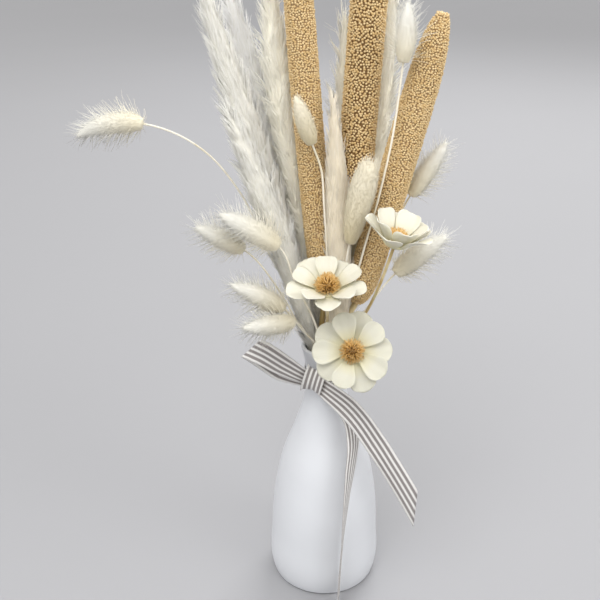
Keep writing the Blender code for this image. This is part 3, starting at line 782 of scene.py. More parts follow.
def painted_board(name):
    """A painted board, matte and pale, a little uneven from the roller every 333 mm."""
    made, add = new_material(name)
    floor = settings("stage").floor
    place = add("ShaderNodeTexCoord", output="Object")
    cloud = add("ShaderNodeTexNoise", {"Vector": place, "Scale": 1 / (333 * MM)})
    tone = add("ShaderNodeMix", (cloud, floor, darkened(floor, 0.97)), data_type="RGBA")
    finish_material(add, {"Base Color": tone, "Roughness": 0.75})
    return made


def tree_with_inputs(name, inputs):
    """A Geometry Nodes tree with one geometry in and out, its named inputs, and what adds a node."""
    tree = bpy.data.node_groups.new(name, "GeometryNodeTree")
    tree.interface.new_socket("Geometry", in_out="INPUT", socket_type="NodeSocketGeometry")
    tree.interface.new_socket("Geometry", in_out="OUTPUT", socket_type="NodeSocketGeometry")
    for kind, labels in inputs.items():
        for label in labels:
            tree.interface.new_socket(label, in_out="INPUT", socket_type="NodeSocket" + kind)
    return tree, tree.nodes.new("NodeGroupInput").outputs, partial(add_node, tree)


def end_tree(tree, add, given, grown, soften=False):
    """Joins what has grown to the piece it grew on, makes it real, and gives it its material.

    Softened, a strand is shaded in part as the soft surface that it belongs to.
    """
    grown = add("GeometryNodeStoreNamedAttribute", (grown, None, "grown", True), data_type="BOOLEAN")
    whole = add("GeometryNodeJoinGeometry", ([given["Geometry"], grown],))
    if soften:
        surface = add("GeometryNodeInputNamedAttribute", ("outward",), data_type="FLOAT_VECTOR")
        own = add("GeometryNodeInputNormal")
        own = add("ShaderNodeVectorMath", (own, given["Crispness"]), operation="SCALE")
        both = chain(add, "ShaderNodeVectorMath", surface, ("ADD", own), ("NORMALIZE",))
        sockets = {"Mesh": whole, "Custom Normal": both}
        whole = add("GeometryNodeSetMeshNormal", sockets, mode="FREE", domain="POINT")
    whole = add("GeometryNodeRealizeInstances", (whole,))
    is_grown = add("GeometryNodeInputNamedAttribute", ("grown",), data_type="BOOLEAN")
    whole = add("GeometryNodeSetMaterial", (whole, is_grown, given["Material"]))
    add("NodeGroupOutput", (whole,))
    return tree


def strands_on_a_surface(name):
    """Tapered strands that grow from a surface, lean the way ahead and gather in tufts."""
    sizes = (
        "Density", "Length", "Least", "Thickness", "Taper", "Forward", "Lift", "Lift spread", "Sag",
        "Tuft size", "Tuft pull", "Wander", "Crispness",
    )
    inputs = {"Float": sizes, "Int": ("Segments", "Seed"), "Material": ("Material",)}
    tree, given, add = tree_with_inputs(name, inputs)
    single, vector = "ShaderNodeMath", "ShaderNodeVectorMath"
    vigour, growth = (add("GeometryNodeInputNamedAttribute", (word,)) for word in ("vigour", "growth"))
    density = add(single, (given["Density"], vigour), operation="MULTIPLY")
    points = add(
        "GeometryNodeDistributePointsOnFaces",
        {"Mesh": given["Geometry"], "Density": density, "Seed": given["Seed"]},
        distribute_method="RANDOM",
    )
    root = add("GeometryNodeInputPosition")
    luck = add("FunctionNodeRandomValue", {"Min": given["Least"], "Max": 1.0, "Seed": given["Seed"]})

    # Strands near each other share a tuft: they lean to its middle, and a few tufts stand out far.
    cells = add(single, (1.0, given["Tuft size"]), operation="DIVIDE")
    tuft = add("ShaderNodeTexVoronoi", {"Vector": root, "Scale": cells}, output="Position")
    tuft_luck = add("ShaderNodeTexWhiteNoise", (tuft,), noise_dimensions="3D")
    raised = ("MULTIPLY_ADD", given["Lift spread"], given["Lift"])
    aside = {"Min": (-1, -1, -1), "Max": (1, 1, 1), "Seed": 5}
    wander = add("FunctionNodeRandomValue", aside, data_type="FLOAT_VECTOR")
    kept = {
        "root": root,
        "outward": points.node.outputs["Normal"],
        "reach": chain(add, single, given["Length"], ("MULTIPLY", growth), ("MULTIPLY", luck)),
        "shade": add("FunctionNodeRandomValue", {"Min": 0.0, "Max": 1.0, "Seed": 3}),
        "pull": chain(add, vector, tuft, ("SUBTRACT", root), ("SCALE", given["Tuft pull"])),
        "lift": chain(add, single, tuft_luck, ("POWER", 3.0), raised),
        "wander": add(vector, (wander, given["Wander"]), operation="SCALE"),
    }
    for word, value in kept.items():
        kind = "FLOAT" if word in ("reach", "shade", "lift") else "FLOAT_VECTOR"
        points = add("GeometryNodeStoreNamedAttribute", (points, None, word, value), data_type=kind)

    # A straight line stands on each root until its points are placed.
    line = add("GeometryNodeCurvePrimitiveLine")
    segments = add(single, (given["Segments"], 1.0), operation="ADD")
    line = add("GeometryNodeResampleCurve", {"Curve": line, "Count": segments})
    share = add("GeometryNodeSplineParameter")
    line = add("GeometryNodeStoreNamedAttribute", (line, None, "along", share), data_type="FLOAT")
    strands = add("GeometryNodeInstanceOnPoints", {"Points": points, "Instance": line})
    strands = add("GeometryNodeRealizeInstances", (strands,))

    # Each point of a strand goes forward and outward by how far along it lies, and aside by its square.
    along, lift, reach = (
        add("GeometryNodeInputNamedAttribute", (word,)) for word in ("along", "lift", "reach")
    )
    ahead, outward, wander, pull, root = (
        add("GeometryNodeInputNamedAttribute", (word,), data_type="FLOAT_VECTOR")
        for word in ("ahead", "outward", "wander", "pull", "root")
    )
    sag, taper = (
        add(single, (1.0, add(single, (given[word], along), operation="MULTIPLY")), operation="SUBTRACT")
        for word in ("Sag", "Taper")
    )
    risen = chain(add, single, lift, ("MULTIPLY", along), ("MULTIPLY", sag))
    forward = add(single, (given["Forward"], along), operation="MULTIPLY")
    bent = add(single, (along, along), operation="MULTIPLY")
    risen, forward, wander, pull = (
        add(vector, pair, operation="SCALE")
        for pair in ((outward, risen), (ahead, forward), (wander, bent), (pull, bent))
    )
    place = chain(
        add, vector, forward,
        ("ADD", risen), ("ADD", wander), ("SCALE", reach), ("ADD", pull), ("ADD", root),
    )
    strands = add("GeometryNodeSetPosition", {"Geometry": strands, "Position": place})
    profile = add("GeometryNodeCurvePrimitiveCircle", {"Resolution": 3, "Radius": 0.5})
    width = add(single, (given["Thickness"], taper), operation="MULTIPLY")
    sockets = {"Curve": strands, "Profile Curve": profile, "Scale": width, "Fill Caps": True}
    skins = add("GeometryNodeCurveToMesh", sockets)
    skins = add("GeometryNodeStoreNamedAttribute", (skins, None, "vigour", 0.0), data_type="FLOAT")
    skins = add("GeometryNodeSetShadeSmooth", {"Geometry": skins})
    return end_tree(tree, add, given, skins, soften=True)


def grains_on_a_spike(name):
    """Grains that stand on a spike, close together and in no order, and lean a little upwards."""
    inputs = {
        "Float": ("Spacing", "Width", "Height", "Lean"), "Int": ("Seed",), "Material": ("Material",)
    }
    tree, given, add = tree_with_inputs(name, inputs)
    single, vector = "ShaderNodeMath", "ShaderNodeVectorMath"
    vigour = add("GeometryNodeInputNamedAttribute", ("vigour",))
    # The spacing decides how many grains there are: the greatest density is far above what it lets by.
    points = add(
        "GeometryNodeDistributePointsOnFaces",
        {
            "Mesh": given["Geometry"], "Distance Min": given["Spacing"], "Density Max": 4e6,
            "Density Factor": vigour, "Seed": given["Seed"],
        },
        distribute_method="POISSON",
    )
    ahead = add("GeometryNodeInputNamedAttribute", ("ahead",), data_type="FLOAT_VECTOR")
    leaning = add(vector, (ahead, given["Lean"]), operation="SCALE")
    aside = {"Min": (-0.22,) * 3, "Max": (0.22,) * 3, "Seed": 9}
    wander = add("FunctionNodeRandomValue", aside, data_type="FLOAT_VECTOR")
    leaning = chain(add, vector, points.node.outputs["Normal"], ("ADD", leaning), ("ADD", wander))
    facing = add("FunctionNodeAlignRotationToVector", {"Vector": leaning}, axis="Z")
    shade = add("FunctionNodeRandomValue", {"Min": 0.0, "Max": 1.0, "Seed": given["Seed"]})
    points = add("GeometryNodeStoreNamedAttribute", (points, None, "shade", shade), data_type="FLOAT")
    ball = add("GeometryNodeMeshIcoSphere", {"Radius": 0.5, "Subdivisions": 1})
    place = add("GeometryNodeInputPosition")
    along = add("ShaderNodeSeparateXYZ", (place,), "Z")
    along = add(single, (along, 0.5), operation="ADD")
    ball = add("GeometryNodeStoreNamedAttribute", (ball, None, "along", along), data_type="FLOAT")
    lifted = add(vector, (place, (0, 0, 0.3)), operation="ADD")
    ball = add("GeometryNodeSetPosition", {"Geometry": ball, "Position": lifted})
    width = add("FunctionNodeRandomValue", {"Min": 0.82, "Max": 1.12, "Seed": given["Seed"]})
    width = add(single, (given["Width"], width), operation="MULTIPLY")
    height = add("FunctionNodeRandomValue", {"Min": 0.8, "Max": 1.25, "Seed": 4})
    height = add(single, (given["Height"], height), operation="MULTIPLY")
    size = add("ShaderNodeCombineXYZ", (width, width, height))
    sockets = {"Points": points, "Instance": ball, "Rotation": facing, "Scale": size}
    grains = add("GeometryNodeInstanceOnPoints", sockets)
    grains = add("GeometryNodeSetShadeSmooth", {"Geometry": grains})
    return end_tree(tree, add, given, grains)


def grow(piece, maker, **values):
    """Adds the maker's tree as a modifier with these named inputs, their spaces as underlines."""
    name = maker.__name__.replace("_", " ")
    tree = bpy.data.node_groups.get(name) or maker(name)
    modifier = piece.modifiers.new(name, "NODES")
    modifier.node_group = tree
    for item in tree.interface.items_tree:
        key = item.name.replace(" ", "_")
        if item.in_out == "INPUT" and key in values:
            modifier[item.identifier] = values[key]


def settle(piece):
    """Turns what the modifiers make into the piece's plain mesh, and removes them."""
    graph = bpy.context.evaluated_depsgraph_get()
    mesh = bpy.data.meshes.new_from_object(piece.evaluated_get(graph), depsgraph=graph)
    piece.modifiers.clear()
    piece.data = mesh
    return piece


def place_piece(piece, slot, *nodes):
    """Sets a finished piece on the body, in place of its CAD nodes."""
    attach(piece, BODY)
    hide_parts(*nodes)


def sheaf_point(azimuth, radius, height):
    """Where a stem of the sheaf is at a height: its azimuth is given in the mouth."""
    at_mouth = math.atan(SHEAF_TWIST * (MOUTH_HEIGHT - THROAT_HEIGHT))
    angle = math.radians(azimuth) - at_mouth
    x, y = radius * math.cos(angle), radius * math.sin(angle)
    turn = SHEAF_TWIST * (height - THROAT_HEIGHT)
    return Vector((x - turn * y, y + turn * x, height))


def stem_route(azimuth, sheaf, via, end, arriving):
    """Frames of a stem from the vase's floor through its mouth, by way of the points via, to its end."""
    foot = sheaf_point(azimuth, sheaf, VASE_FLOOR + CLEARANCE)
    mouth = sheaf_point(azimuth, sheaf, MOUTH_HEIGHT)
    points = [mouth, *(mm(point) for point in via), end]
    above = curve(points, 12, start=mouth - foot, end=arriving)
    return frames([foot, foot.lerp(mouth, 0.92), *above])


def stem_and_core(kind, sheaf, stem, body, steps, sides, vigour, growth=lambda t: 1.0, sheath=0.0):
    """A stem and the core of its head, as one shape.

    The sheath is how densely strands cover the stem above the mouth. A stem with one swells there to
    the base of its head.
    """
    shape = Shape()
    route = frames(curve([mm(point) for point in kind.head], steps))
    way_in = route[1][0] - route[0][0]
    inside = route[0][0] + way_in.normalized() * STEM_OVERLAP
    stalk = stem_route(kind.azimuth, sheaf, kind.via, inside, way_in)
    mouth = 2 / (len(stalk) - 1)
    sheath_start = 0.9 * mouth
    base = body(0)

    def girth(t):
        if sheath and t > sheath_start:
            return base * min(1.0, 0.92 + 3 * (t - mouth) / (1 - mouth))
        return stem * (1.1 - 0.2 * t)

    shape.tube(stalk, girth, 8, 1 if sheath else 0, lambda t: sheath if t > sheath_start else 0.0)
    shape.tube(route, body, sides, 1, vigour, growth)
    return shape


def make_millet(number, kind, materials):
    """A millet head on its stem, with grains that stand on its spike."""
    options = settings("millet")
    coarse, crowded = RIPE_GRAINS if number == RIPE_MILLET else USUAL_GRAINS
    height = GRAIN_HEIGHT * coarse

    def body(t):
        return (kind.radius * MM - 0.8 * height) * swell(t, *MILLET_OUTLINE)

    shape = stem_and_core(kind, MILLET_SHEAF_RADIUS, MILLET_STEM, body, 24, 28, lambda t: 1.0)
    piece = shape.piece(f"millet_head_{number}", materials[:2])
    grow(
        piece, grains_on_a_spike, Spacing=options.spacing * coarse,
        Width=options.grain * coarse * crowded, Height=height, Lean=0.35, Seed=SEED + number,
        Material=materials[2],
    )
    return settle(piece)


def make_plume(number, kind, materials):
    """A plume on its stem, with silk that starts on the stem and is thickest at the tip."""
    radius = kind.radius * MM
    options = settings("plume")
    loose, full = PLUME_FLUFF.get(number, USUAL_FLUFF)
    outline = LEAN_PLUME_OUTLINE if number == LEAN_PLUME else PLUME_OUTLINE

    def body(t):
        return radius * full * swell(t, *outline)

    def vigour(t):
        return 0.85 + 0.15 * math.sin(math.pi * t) + 1.2 * t**10

    shape = stem_and_core(kind, SHEAF_RADIUS, PLUME_STEM, body, 30, 20, vigour, sheath=2.0)
    piece = shape.piece(f"plume_head_{number}", materials)
    grow(
        piece, strands_on_a_surface, Density=options.strands * PER_SQUARE_CM,
        Length=options.reach * radius / FULL_SILK_RADIUS, Least=0.5, Thickness=options.thickness, Taper=0.8,
        Forward=0.92, Lift=0.2 * loose, Lift_spread=0.46 * loose, Sag=0.25, Tuft_size=8 * MM,
        Tuft_pull=0.8 * loose, Wander=0.12 * loose, Crispness=0.6, Segments=2, Seed=SEED + number,
        Material=materials[1],
    )
    return settle(piece)


def make_tail(number, kind, materials):
    """A bunny tail on its stem, with dense short hairs and, on most, sparse long ones."""
    options = settings("tail")
    brush = number == BRUSH_TAIL
    outline = BRUSH_TAIL_OUTLINE if brush else TAIL_OUTLINE
    smooth = number in SMOOTH_TAILS
    loose = 0.5 if smooth else 1.0

    def body(t):
        return (kind.radius * MM - HAIR_ROOM) * swell(t, *outline)

    def vigour(t):
        return 1.0 if t > 0.04 else 0.4

    def growth(t):
        return 0.75 + 0.45 * t if brush else 1.1 - 0.35 * t

    shape = stem_and_core(kind, SHEAF_RADIUS, TAIL_STEM, body, 10, 20, vigour, growth)
    piece = shape.piece(f"bunny_tail_head_{number}", materials)
    density = options.strands * PER_SQUARE_CM
    grow(
        piece, strands_on_a_surface, Density=density, Length=options.reach, Least=0.55,
        Thickness=options.thickness, Taper=0.75, Forward=0.85, Lift=0.45 * loose,
        Lift_spread=0.4 * loose, Sag=0.15, Tuft_size=2.4 * MM, Tuft_pull=0.5, Wander=0.2,
        Crispness=1.8, Segments=2, Seed=SEED + number, Material=materials[1],
    )
    if not smooth:
        grow(
            piece, strands_on_a_surface, Density=density * (0.25 if number == SPARSE_TAIL else 0.5),
            Length=options.awn, Least=0.4, Thickness=options.thickness * 0.9, Taper=0.55, Forward=0.5,
            Lift=0.85, Lift_spread=0.4, Sag=0.18, Tuft_size=3 * MM, Tuft_pull=0.35, Wander=0.2,
            Crispness=1.0, Segments=3, Seed=SEED + 40 + number, Material=materials[1],
        )
    return settle(piece)


def turned(name, profile, sides, material):
    """A closed profile of (radius, height) points that starts and ends on the axis, turned round it."""
    shape = Shape()
    rings = []
    for radius, height in profile:
        if radius == 0:
            rings.append([shape.add_point((0, 0, height))] * sides)
        else:
            spots = [(radius * x, radius * y, height) for x, y in arc(0, 360 / sides, sides)]
            rings.append([shape.add_point(spot) for spot in spots])
    shape.join(rings)
    return shape.piece(name, [material])


def vase_side():
    """Points close together on the vase's outline: each one's height and outer radius in mm."""
    return curve([Vector((*station, 0)) for station in VASE_OUTLINE], 8)


def vase_profile(wall):
    """(radius, height) from the axis under the foot, up the outside, over the rim and down the inside."""
    outside = [(point.y * MM, point.x * MM) for point in vase_side()]
    rim_radius, rim_height = outside[-1]
    lip = [
        (rim_radius - wall / 2 + wall / 2 * x, rim_height + wall / 3 * y)
        for x, y in arc(22.5, 22.5, 7)
    ]
    inside = [point for point in reversed(outside) if point[1] > INNER_WALL_START]
    inside = [(radius - wall, height) for radius, height in inside]
    edge, corner = (
        [((VASE_FOOT_RADIUS + past) * MM, height * MM) for past, height in stations]
        for stations in (FOOT_EDGE, INNER_CORNER)
    )
    return [(0, 0), *edge, *outside, *lip, *inside, *corner, (0, VASE_FLOOR)]


def cloth(shape, uvs, centres, widths, across, thickness, bow, run, cut=0.0):
    """A closed strip of cloth along its centres, alike on both faces, bowed across its width.

    The run is how much of the ribbon comes before it, and the cut how far its end slants: what one
    edge falls short of the middle by. Returns the strip's length.
    """
    front, back = [], []
    last = len(centres) - 1
    laid = 0.0
    for i, centre in enumerate(centres):
        before, after = centres[max(i - 1, 0)], centres[min(i + 1, last)]
        laid += (centre - before).length
        ahead = (after - before).normalized()
        aside = across[i].normalized()
        proud = ahead.cross(aside).normalized()
        late = max(0.0, 3 * i / last - 2)
        front.append([])
        back.append([])
        for j in range(CLOTH_CELLS + 1):
            v = 2 * j / CLOTH_CELLS - 1
            slant = -cut * v * late
            point = centre + aside * (widths[i] / 2 * v) + proud * bow(i / last, v) + ahead * slant
            for grid, offset in ((front, thickness / 2), (back, -thickness / 2)):
                corner = shape.add_point(point + proud * offset)
                grid[-1].append(corner)
                uvs[corner] = (j / CLOTH_CELLS, run + laid + slant)
    shape.slab(front, back)
    return laid


def put_uvs(piece, uvs):
    layer = piece.data.uv_layers.new(name="UVMap")
    for loop in piece.data.loops:
        layer.data[loop.index].uv = uvs[loop.vertex_index]


def make_ribbon(material):
    """The band, knot, loop and tails as one cloth, with the length of ribbon that they take."""
    shape, uvs = Shape(), {}
    thickness = settings("ribbon").thickness

    low, high = BAND_LEVELS
    middle = (low + high) / 2
    radius = read_line(vase_side(), middle) * MM + CLEARANCE + BAND_PADDING
    ring = [Vector((radius * x, radius * y, middle * MM)) for x, y in arc(-120, 5, 73)]
    widths = [(high - low) * MM] * len(ring)
    upright = [Vector((0, 0, 1))] * len(ring)
    used = cloth(shape, uvs, ring, widths, upright, thickness, lambda t, v: 0.0, 0.0)

    def stretch(stations, steps, bow, cut=0.0):
        centres = curve([mm(station[:3]) for station in stations], steps)
        wide = blend([station[3] * MM for station in stations], steps)
        way = blend([Vector(station[4]) for station in stations], steps)
        return cloth(shape, uvs, centres, wide, way, thickness, bow, used, cut)

    loop = [(*station, LOOP_ACROSS) for station in LOOP]
    used += stretch(loop, 8, lambda t, v: 0.8 * MM * math.sin(3 * v) * math.cos(9 * t))
    used += stretch(
        WIDE_TAIL, 8, lambda t, v: 1.0 * MM * (1 - v * v) * math.sin(2 + 7 * t), WIDE_TAIL_CUT * MM
    )
    used += stretch(NARROW_TAIL, 6, lambda t, v: 0.8 * MM * (1 - v * v) * math.sin(5 * t))

    centre = mm(KNOT_CENTRE)
    face = Vector(KNOT_FACING).normalized()
    side = Vector((-face.y, face.x, 0))
    lean = (side * KNOT_LEAN + Vector((0, 0, 1))).normalized()
    wide, tall, deep = (size * MM for size in KNOT_SIZE)
    over = [centre + lean * (tall * y) + face * (deep * x) for x, y in arc(-90, 9, 21)]
    aside = (side - lean * side.dot(lean)).normalized()
    used += cloth(
        shape, uvs, over, [wide] * len(over), [aside] * len(over), thickness,
        lambda t, v: 3 * MM * (0.6 - v * v) + 0.3 * MM * math.sin(8 * v + 1), used,
    )
    piece = shape.piece("ribbon_cloth", [material])
    put_uvs(piece, uvs)
    return piece, used


def petal(shape, uvs, place, rise, size, breadth, draw):
    """One spoon-shaped petal with a broad round end and a cupped, gently waved blade."""
    options = settings("flower")
    rows, columns = 16, 12
    outline = curve([Vector((*station, 0)) for station in PETAL_OUTLINE], 6)
    ripple = draw.uniform(-0.05, 0.05)
    phase = ripple * 60
    x, z = PETAL_ROOT, 0.0
    over, under = [], []
    for i in range(rows + 1):
        along = i / rows
        wide = read_line(outline, along)
        heading = math.radians(rise - options.petal_curl * along)
        if i:
            x += options.petal_length * size / rows * math.cos(heading)
            z += options.petal_length * size / rows * math.sin(heading)
        half = options.petal_width * size * breadth * wide / 2
        thick = Vector((-math.sin(heading), 0, math.cos(heading))) * options.petal_thickness
        over.append([])
        under.append([])
        for j in range(columns + 1):
            v = 2 * j / columns - 1
            wave = 0.03 * half * math.sin(7 * v + phase) * along
            lift = half * (0.22 * v * v + ripple * v) + wave
            back = half * 0.3 * v * v * along**3
            spot = Vector((x - back, half * v, z + lift))
            thin = 1 - 0.6 * v * v * along
            for grid, offset in ((over, 0.5 * thin), (under, -0.5 * thin)):
                corner = shape.add_point(place @ (spot + thick * (0.5 + offset)))
                grid[-1].append(corner)
                uvs[corner] = (v * wide + 3 * phase, along)
    shape.slab(under, over)


def make_petals(number, place, bloom, material):
    """A disc with two tiers of petals, each set a little off its even place."""
    draw = random.Random(f"flower_{number}_petals" + str(SEED))
    shape = Shape()
    axes = [place.to_3x3() @ Vector(axis) for axis in ((1, 0, 0), (0, 1, 0), (0, 0, 1))]
    route = [(place @ Vector((0, 0, -depth * DISC_DEPTH)), *axes) for depth, _ in DISC_PROFILE]
    last = len(DISC_PROFILE) - 1
    shape.tube(route, lambda t: DISC_RADIUS * DISC_PROFILE[round(t * last)][1], 24, 0)
    uvs = {i: (0.5, 0.05) for i in range(len(shape.points))}
    for tier, (rise, level) in enumerate(zip(bloom.rise, TIER_LEVELS)):
        for i in range(PETALS_IN_TIER):
            azimuth = bloom.turn + 360 / PETALS_IN_TIER * (i + 0.5 * tier)
            azimuth += draw.uniform(-PETAL_SCATTER, PETAL_SCATTER)
            spin = Matrix.Rotation(math.radians(azimuth), 4, "Z")
            spot = place @ Matrix.Translation((0, 0, level)) @ spin
            size = bloom.size * draw.uniform(0.94, 1.04) * (1 - 0.06 * tier)
            tilt = rise + draw.uniform(-PETAL_SCATTER, PETAL_SCATTER)
            petal(shape, uvs, spot, tilt, size, bloom.breadth, draw)
    piece = shape.piece(f"petals_{number}", [material])
    put_uvs(piece, uvs)
    return piece


def make_centre(number, place, material):
    """A dome covered in stiff bristles that stand out square to it."""
    options = settings("flower")
    shape = Shape()
    rows, sides = 10, 24
    tall = CENTRE_HEIGHT * (1.0 if number == TALL_FLOWER else CENTRE_CORE)
    turn = place.to_3x3()
    rings = []
    for j in range(rows):
        angle = math.pi / 2 * j / rows
        out = CENTRE_CORE * CENTRE_RADIUS * math.cos(angle) ** 0.8
        flat = 0.75 * math.cos(angle)
        ring = []
        for x, y in arc(0, 360 / sides, sides):
            way = Vector((flat * x, flat * y, 0.25 + math.sin(angle)))
            spot = place @ Vector((out * x, out * y, CLEARANCE + tall * math.sin(angle)))
            ring.append(shape.add_point(spot, turn @ way.normalized(), vigour=1.0))
        rings.append(ring)
    shape.join(rings)
    up = turn @ Vector((0, 0, 1))
    top = shape.add_point(place @ Vector((0, 0, CLEARANCE + tall)), up, vigour=1.0)
    floor = shape.add_point(place @ Vector((0, 0, CLEARANCE)), up)
    for i in range(sides):
        k = (i + 1) % sides
        shape.add_face((rings[-1][i], rings[-1][k], top))
        shape.add_face((rings[0][k], rings[0][i], floor))
    piece = shape.piece(f"bristles_{number}", [material])
    grow(
        piece, strands_on_a_surface, Density=options.bristles * PER_SQUARE_CM,
        Length=options.bristle_length, Least=0.75, Thickness=options.bristle_thickness, Taper=0.45,
        Forward=1.0, Lift=0.0, Lift_spread=0.0, Sag=0.0, Tuft_size=2 * MM, Tuft_pull=0.2, Wander=0.14,
        Crispness=2.0, Segments=2, Seed=SEED + number, Material=material,
    )
    return settle(piece)


def make_flower(number, bloom, petal_material, bristle_material, straw):
    """The petals, the centre and the stem of a flower, each a piece of its own."""
    facing = Vector(bloom.facing).normalized()
    turn = Vector((0, 0, 1)).rotation_difference(facing)
    place = Matrix.Translation(mm(bloom.centre)) @ turn.to_matrix().to_4x4()
    petals = make_petals(number, place, bloom, petal_material)
    place_piece(petals, "petal", f"flower_{number}_petals")
    centre = make_centre(number, place, bristle_material)
    place_piece(centre, "flower_bristle", f"flower_{number}_centre")
    top = place @ Vector((0, 0, -DISC_DEPTH - CLEARANCE))
    stalk = Shape()
    route = stem_route(bloom.azimuth, SHEAF_RADIUS, (bloom.via,), top, facing)
    stalk.tube(route, lambda t: FLOWER_STEM * (1.05 - 0.1 * t), 8, 0)
    stem = stalk.piece(f"flower_stalk_{number}", [straw])
    place_piece(stem, "straw_stem", f"flower_{number}_stem")


class DRIED_OT_stage(bpy.types.Operator):
    """Adds the pale floor, the soft lights and the camera"""

    bl_idname = "dried_grasses.stage"
    bl_label = "Stage"

    def execute(self, context):
        scene = context.scene
        data = bpy.data.cameras.new("camera")
        data.lens = CAMERA_LENS
        data.sensor_width = 36
        data.clip_start, data.clip_end = 0.05, 50
        camera = bpy.data.objects.new("camera", data)
        camera.location = CAMERA_PLACE
        camera.rotation_euler = (math.radians(CAMERA_TILT), 0, 0)
        scene.collection.objects.link(camera)
        scene.camera = camera

        mesh = bpy.data.meshes.new("floor")
        corners = [(x * FLOOR_REACH, y * FLOOR_REACH, 0) for x, y in ((-1, -1), (1, -1), (1, 1), (-1, 1))]
        mesh.from_pydata(corners, [], [(0, 1, 2, 3)])
        mesh.materials.append(shared_material(painted_board, "rolled painted board"))
        floor = bpy.data.objects.new("floor", mesh)
        scene.collection.objects.link(floor)

        aim = Vector(LIGHTS_AIM)
        for name, kind, place, size, strength in LIGHTS:
            light = bpy.data.lights.new(name, kind)
            light.energy = strength
            if kind == "SUN":
                light.angle = size
            else:
                light.size = size
            lamp = bpy.data.objects.new(name, light)
            lamp.location = place
            lamp.rotation_euler = (aim - Vector(place)).to_track_quat("-Z", "Y").to_euler()
            scene.collection.objects.link(lamp)
        world = bpy.data.worlds.new("studio")
        world.use_nodes = True
        sky = world.node_tree.nodes["Background"].inputs
        sky["Color"].default_value = linear("F2F1EF")
        sky["Strength"].default_value = SKY_STRENGTH
        scene.world = world
        scene.view_settings.view_transform = "Standard"
        return {"FINISHED"}


class DRIED_OT_vase(bpy.types.Operator):
    """Turns the bottle vase"""

    bl_idname = "dried_grasses.vase"
    bl_label = "Vase"

    def execute(self, context):
        options = settings("vase")
        glaze = shared_material(glazed_stoneware, "matte glazed stoneware")
        piece = turned("bottle_vase", vase_profile(options.wall), options.sides, glaze)
        place_piece(piece, "ceramic", "vase")
        return {"FINISHED"}


class DRIED_OT_ribbon(bpy.types.Operator):
    """Ties the striped ribbon round the vase's neck"""

    bl_idname = "dried_grasses.ribbon"
    bl_label = "Ribbon"

    def execute(self, context):
        piece, used = make_ribbon(shared_material(woven_ribbon, "woven cotton ribbon"))
        place_piece(piece, "ribbon_cloth", "ribbon")
        settings("ribbon").width
        return {"FINISHED"}


class DRIED_OT_millets(bpy.types.Operator):
    """Grows the three millet heads"""

    bl_idname = "dried_grasses.millets"
    bl_label = "Millet heads"

    def execute(self, context):
        options = settings("millet")
        for number, kind in enumerate(MILLETS, 1):
            tone = "ripe" if number == RIPE_MILLET else "pale"
            core, foot = getattr(options, tone + "_core"), getattr(options, tone + "_foot")
            materials = (
                golden_straw(),
                shared_material(dried_spike, tone + " dried millet spike", core),
                shared_material(dried_grain, tone + " dried millet grain", foot),
            )
            place_piece(make_millet(number, kind, materials), "millet_grain", f"millet_{number}")
        return {"FINISHED"}


class DRIED_OT_plumes(bpy.types.Operator):
    """Grows the seven pale plumes"""

    bl_idname = "dried_grasses.plumes"
    bl_label = "Plumes"

    def execute(self, context):
        for number, kind in enumerate(PLUMES, 1):
            # A plume that stands in shade takes a brighter silk: painted light, besides its own tone.
            tone = PLUME_TONES.get(number, "white")
            name = tone + " bleached plume silk"
            silk = shared_material(bleached_silk, name, getattr(settings("plume"), tone))
            piece = make_plume(number, kind, (bleached_straw(), silk))
            place_piece(piece, "plume_fluff", f"plume_{number}")
        return {"FINISHED"}


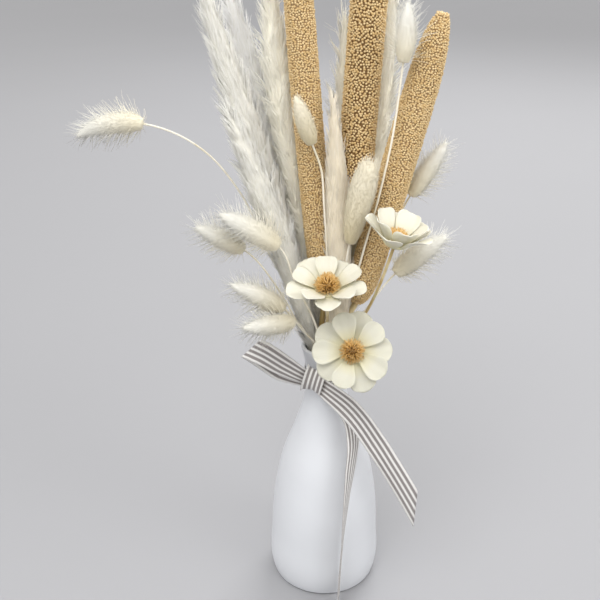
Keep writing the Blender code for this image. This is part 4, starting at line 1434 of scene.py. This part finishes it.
class DRIED_OT_tails(bpy.types.Operator):
    """Grows the ten bunny tails"""

    bl_idname = "dried_grasses.tails"
    bl_label = "Bunny tails"

    def execute(self, context):
        options = settings("tail")
        for number, kind in enumerate(TAILS, 1):
            words = "bleached bunny tail hair", options.root, options.tip
            if number in SMOOTH_TAILS:
                words = "cream bunny tail hair", options.cream_root, options.cream_tip
            hair = shared_material(bleached_hair, *words)
            piece = make_tail(number, kind, (bleached_straw(), hair))
            place_piece(piece, "bunny_tail_fluff", f"bunny_tail_{number}")
        return {"FINISHED"}


class DRIED_OT_flowers(bpy.types.Operator):
    """Makes the three cream flowers"""

    bl_idname = "dried_grasses.flowers"
    bl_label = "Flowers"

    def execute(self, context):
        options = settings("flower")
        bristle = shared_material(dyed_bristle, "dyed plant bristle")
        for number, bloom in enumerate(FLOWERS, 1):
            words = "shaved pith petal", options.petal
            # The front flower takes the darker petal copy: painted shade, as it faces the lights, and a
            # duller tone.
            if number == FRONT_FLOWER:
                words = "dull shaved pith petal", options.front_petal
            petal_material = shared_material(shaved_petal, *words)
            make_flower(number, bloom, petal_material, bristle, golden_straw())
        return {"FINISHED"}


OPERATORS = (
    DRIED_OT_vase,
    DRIED_OT_ribbon,
    DRIED_OT_millets,
    DRIED_OT_plumes,
    DRIED_OT_tails,
    DRIED_OT_flowers,
    DRIED_OT_stage,
)


class DRIED_PT_panel(bpy.types.Panel):
    """Lists the pieces of the vase of dried grasses, with their settings"""

    bl_idname = "DRIED_PT_panel"
    bl_label = "Vase of Dried Grasses"
    bl_space_type = "VIEW_3D"
    bl_region_type = "UI"
    bl_category = "Dried Grasses"

    def draw(self, context):
        for operator in OPERATORS:
            self.layout.operator(operator.bl_idname)
        for name, group in GROUPS.items():
            box = self.layout.box()
            box.label(text=name.capitalize())
            for option in group.__annotations__:
                box.prop(settings(name), option)


def register():
    for name, group in GROUPS.items():
        bpy.utils.register_class(group)
        setattr(bpy.types.Scene, "dried_" + name, PointerProperty(type=group))
    for operator in OPERATORS:
        bpy.utils.register_class(operator)
    bpy.utils.register_class(DRIED_PT_panel)


def unregister():
    bpy.utils.unregister_class(DRIED_PT_panel)
    for operator in reversed(OPERATORS):
        bpy.utils.unregister_class(operator)
    for name, group in GROUPS.items():
        delattr(bpy.types.Scene, "dried_" + name)
        bpy.utils.unregister_class(group)


def main():
    register()
    for operator in OPERATORS:
        group, name = operator.bl_idname.split(".")
        getattr(getattr(bpy.ops, group), name)()


if __name__ == "__main__":
    main()
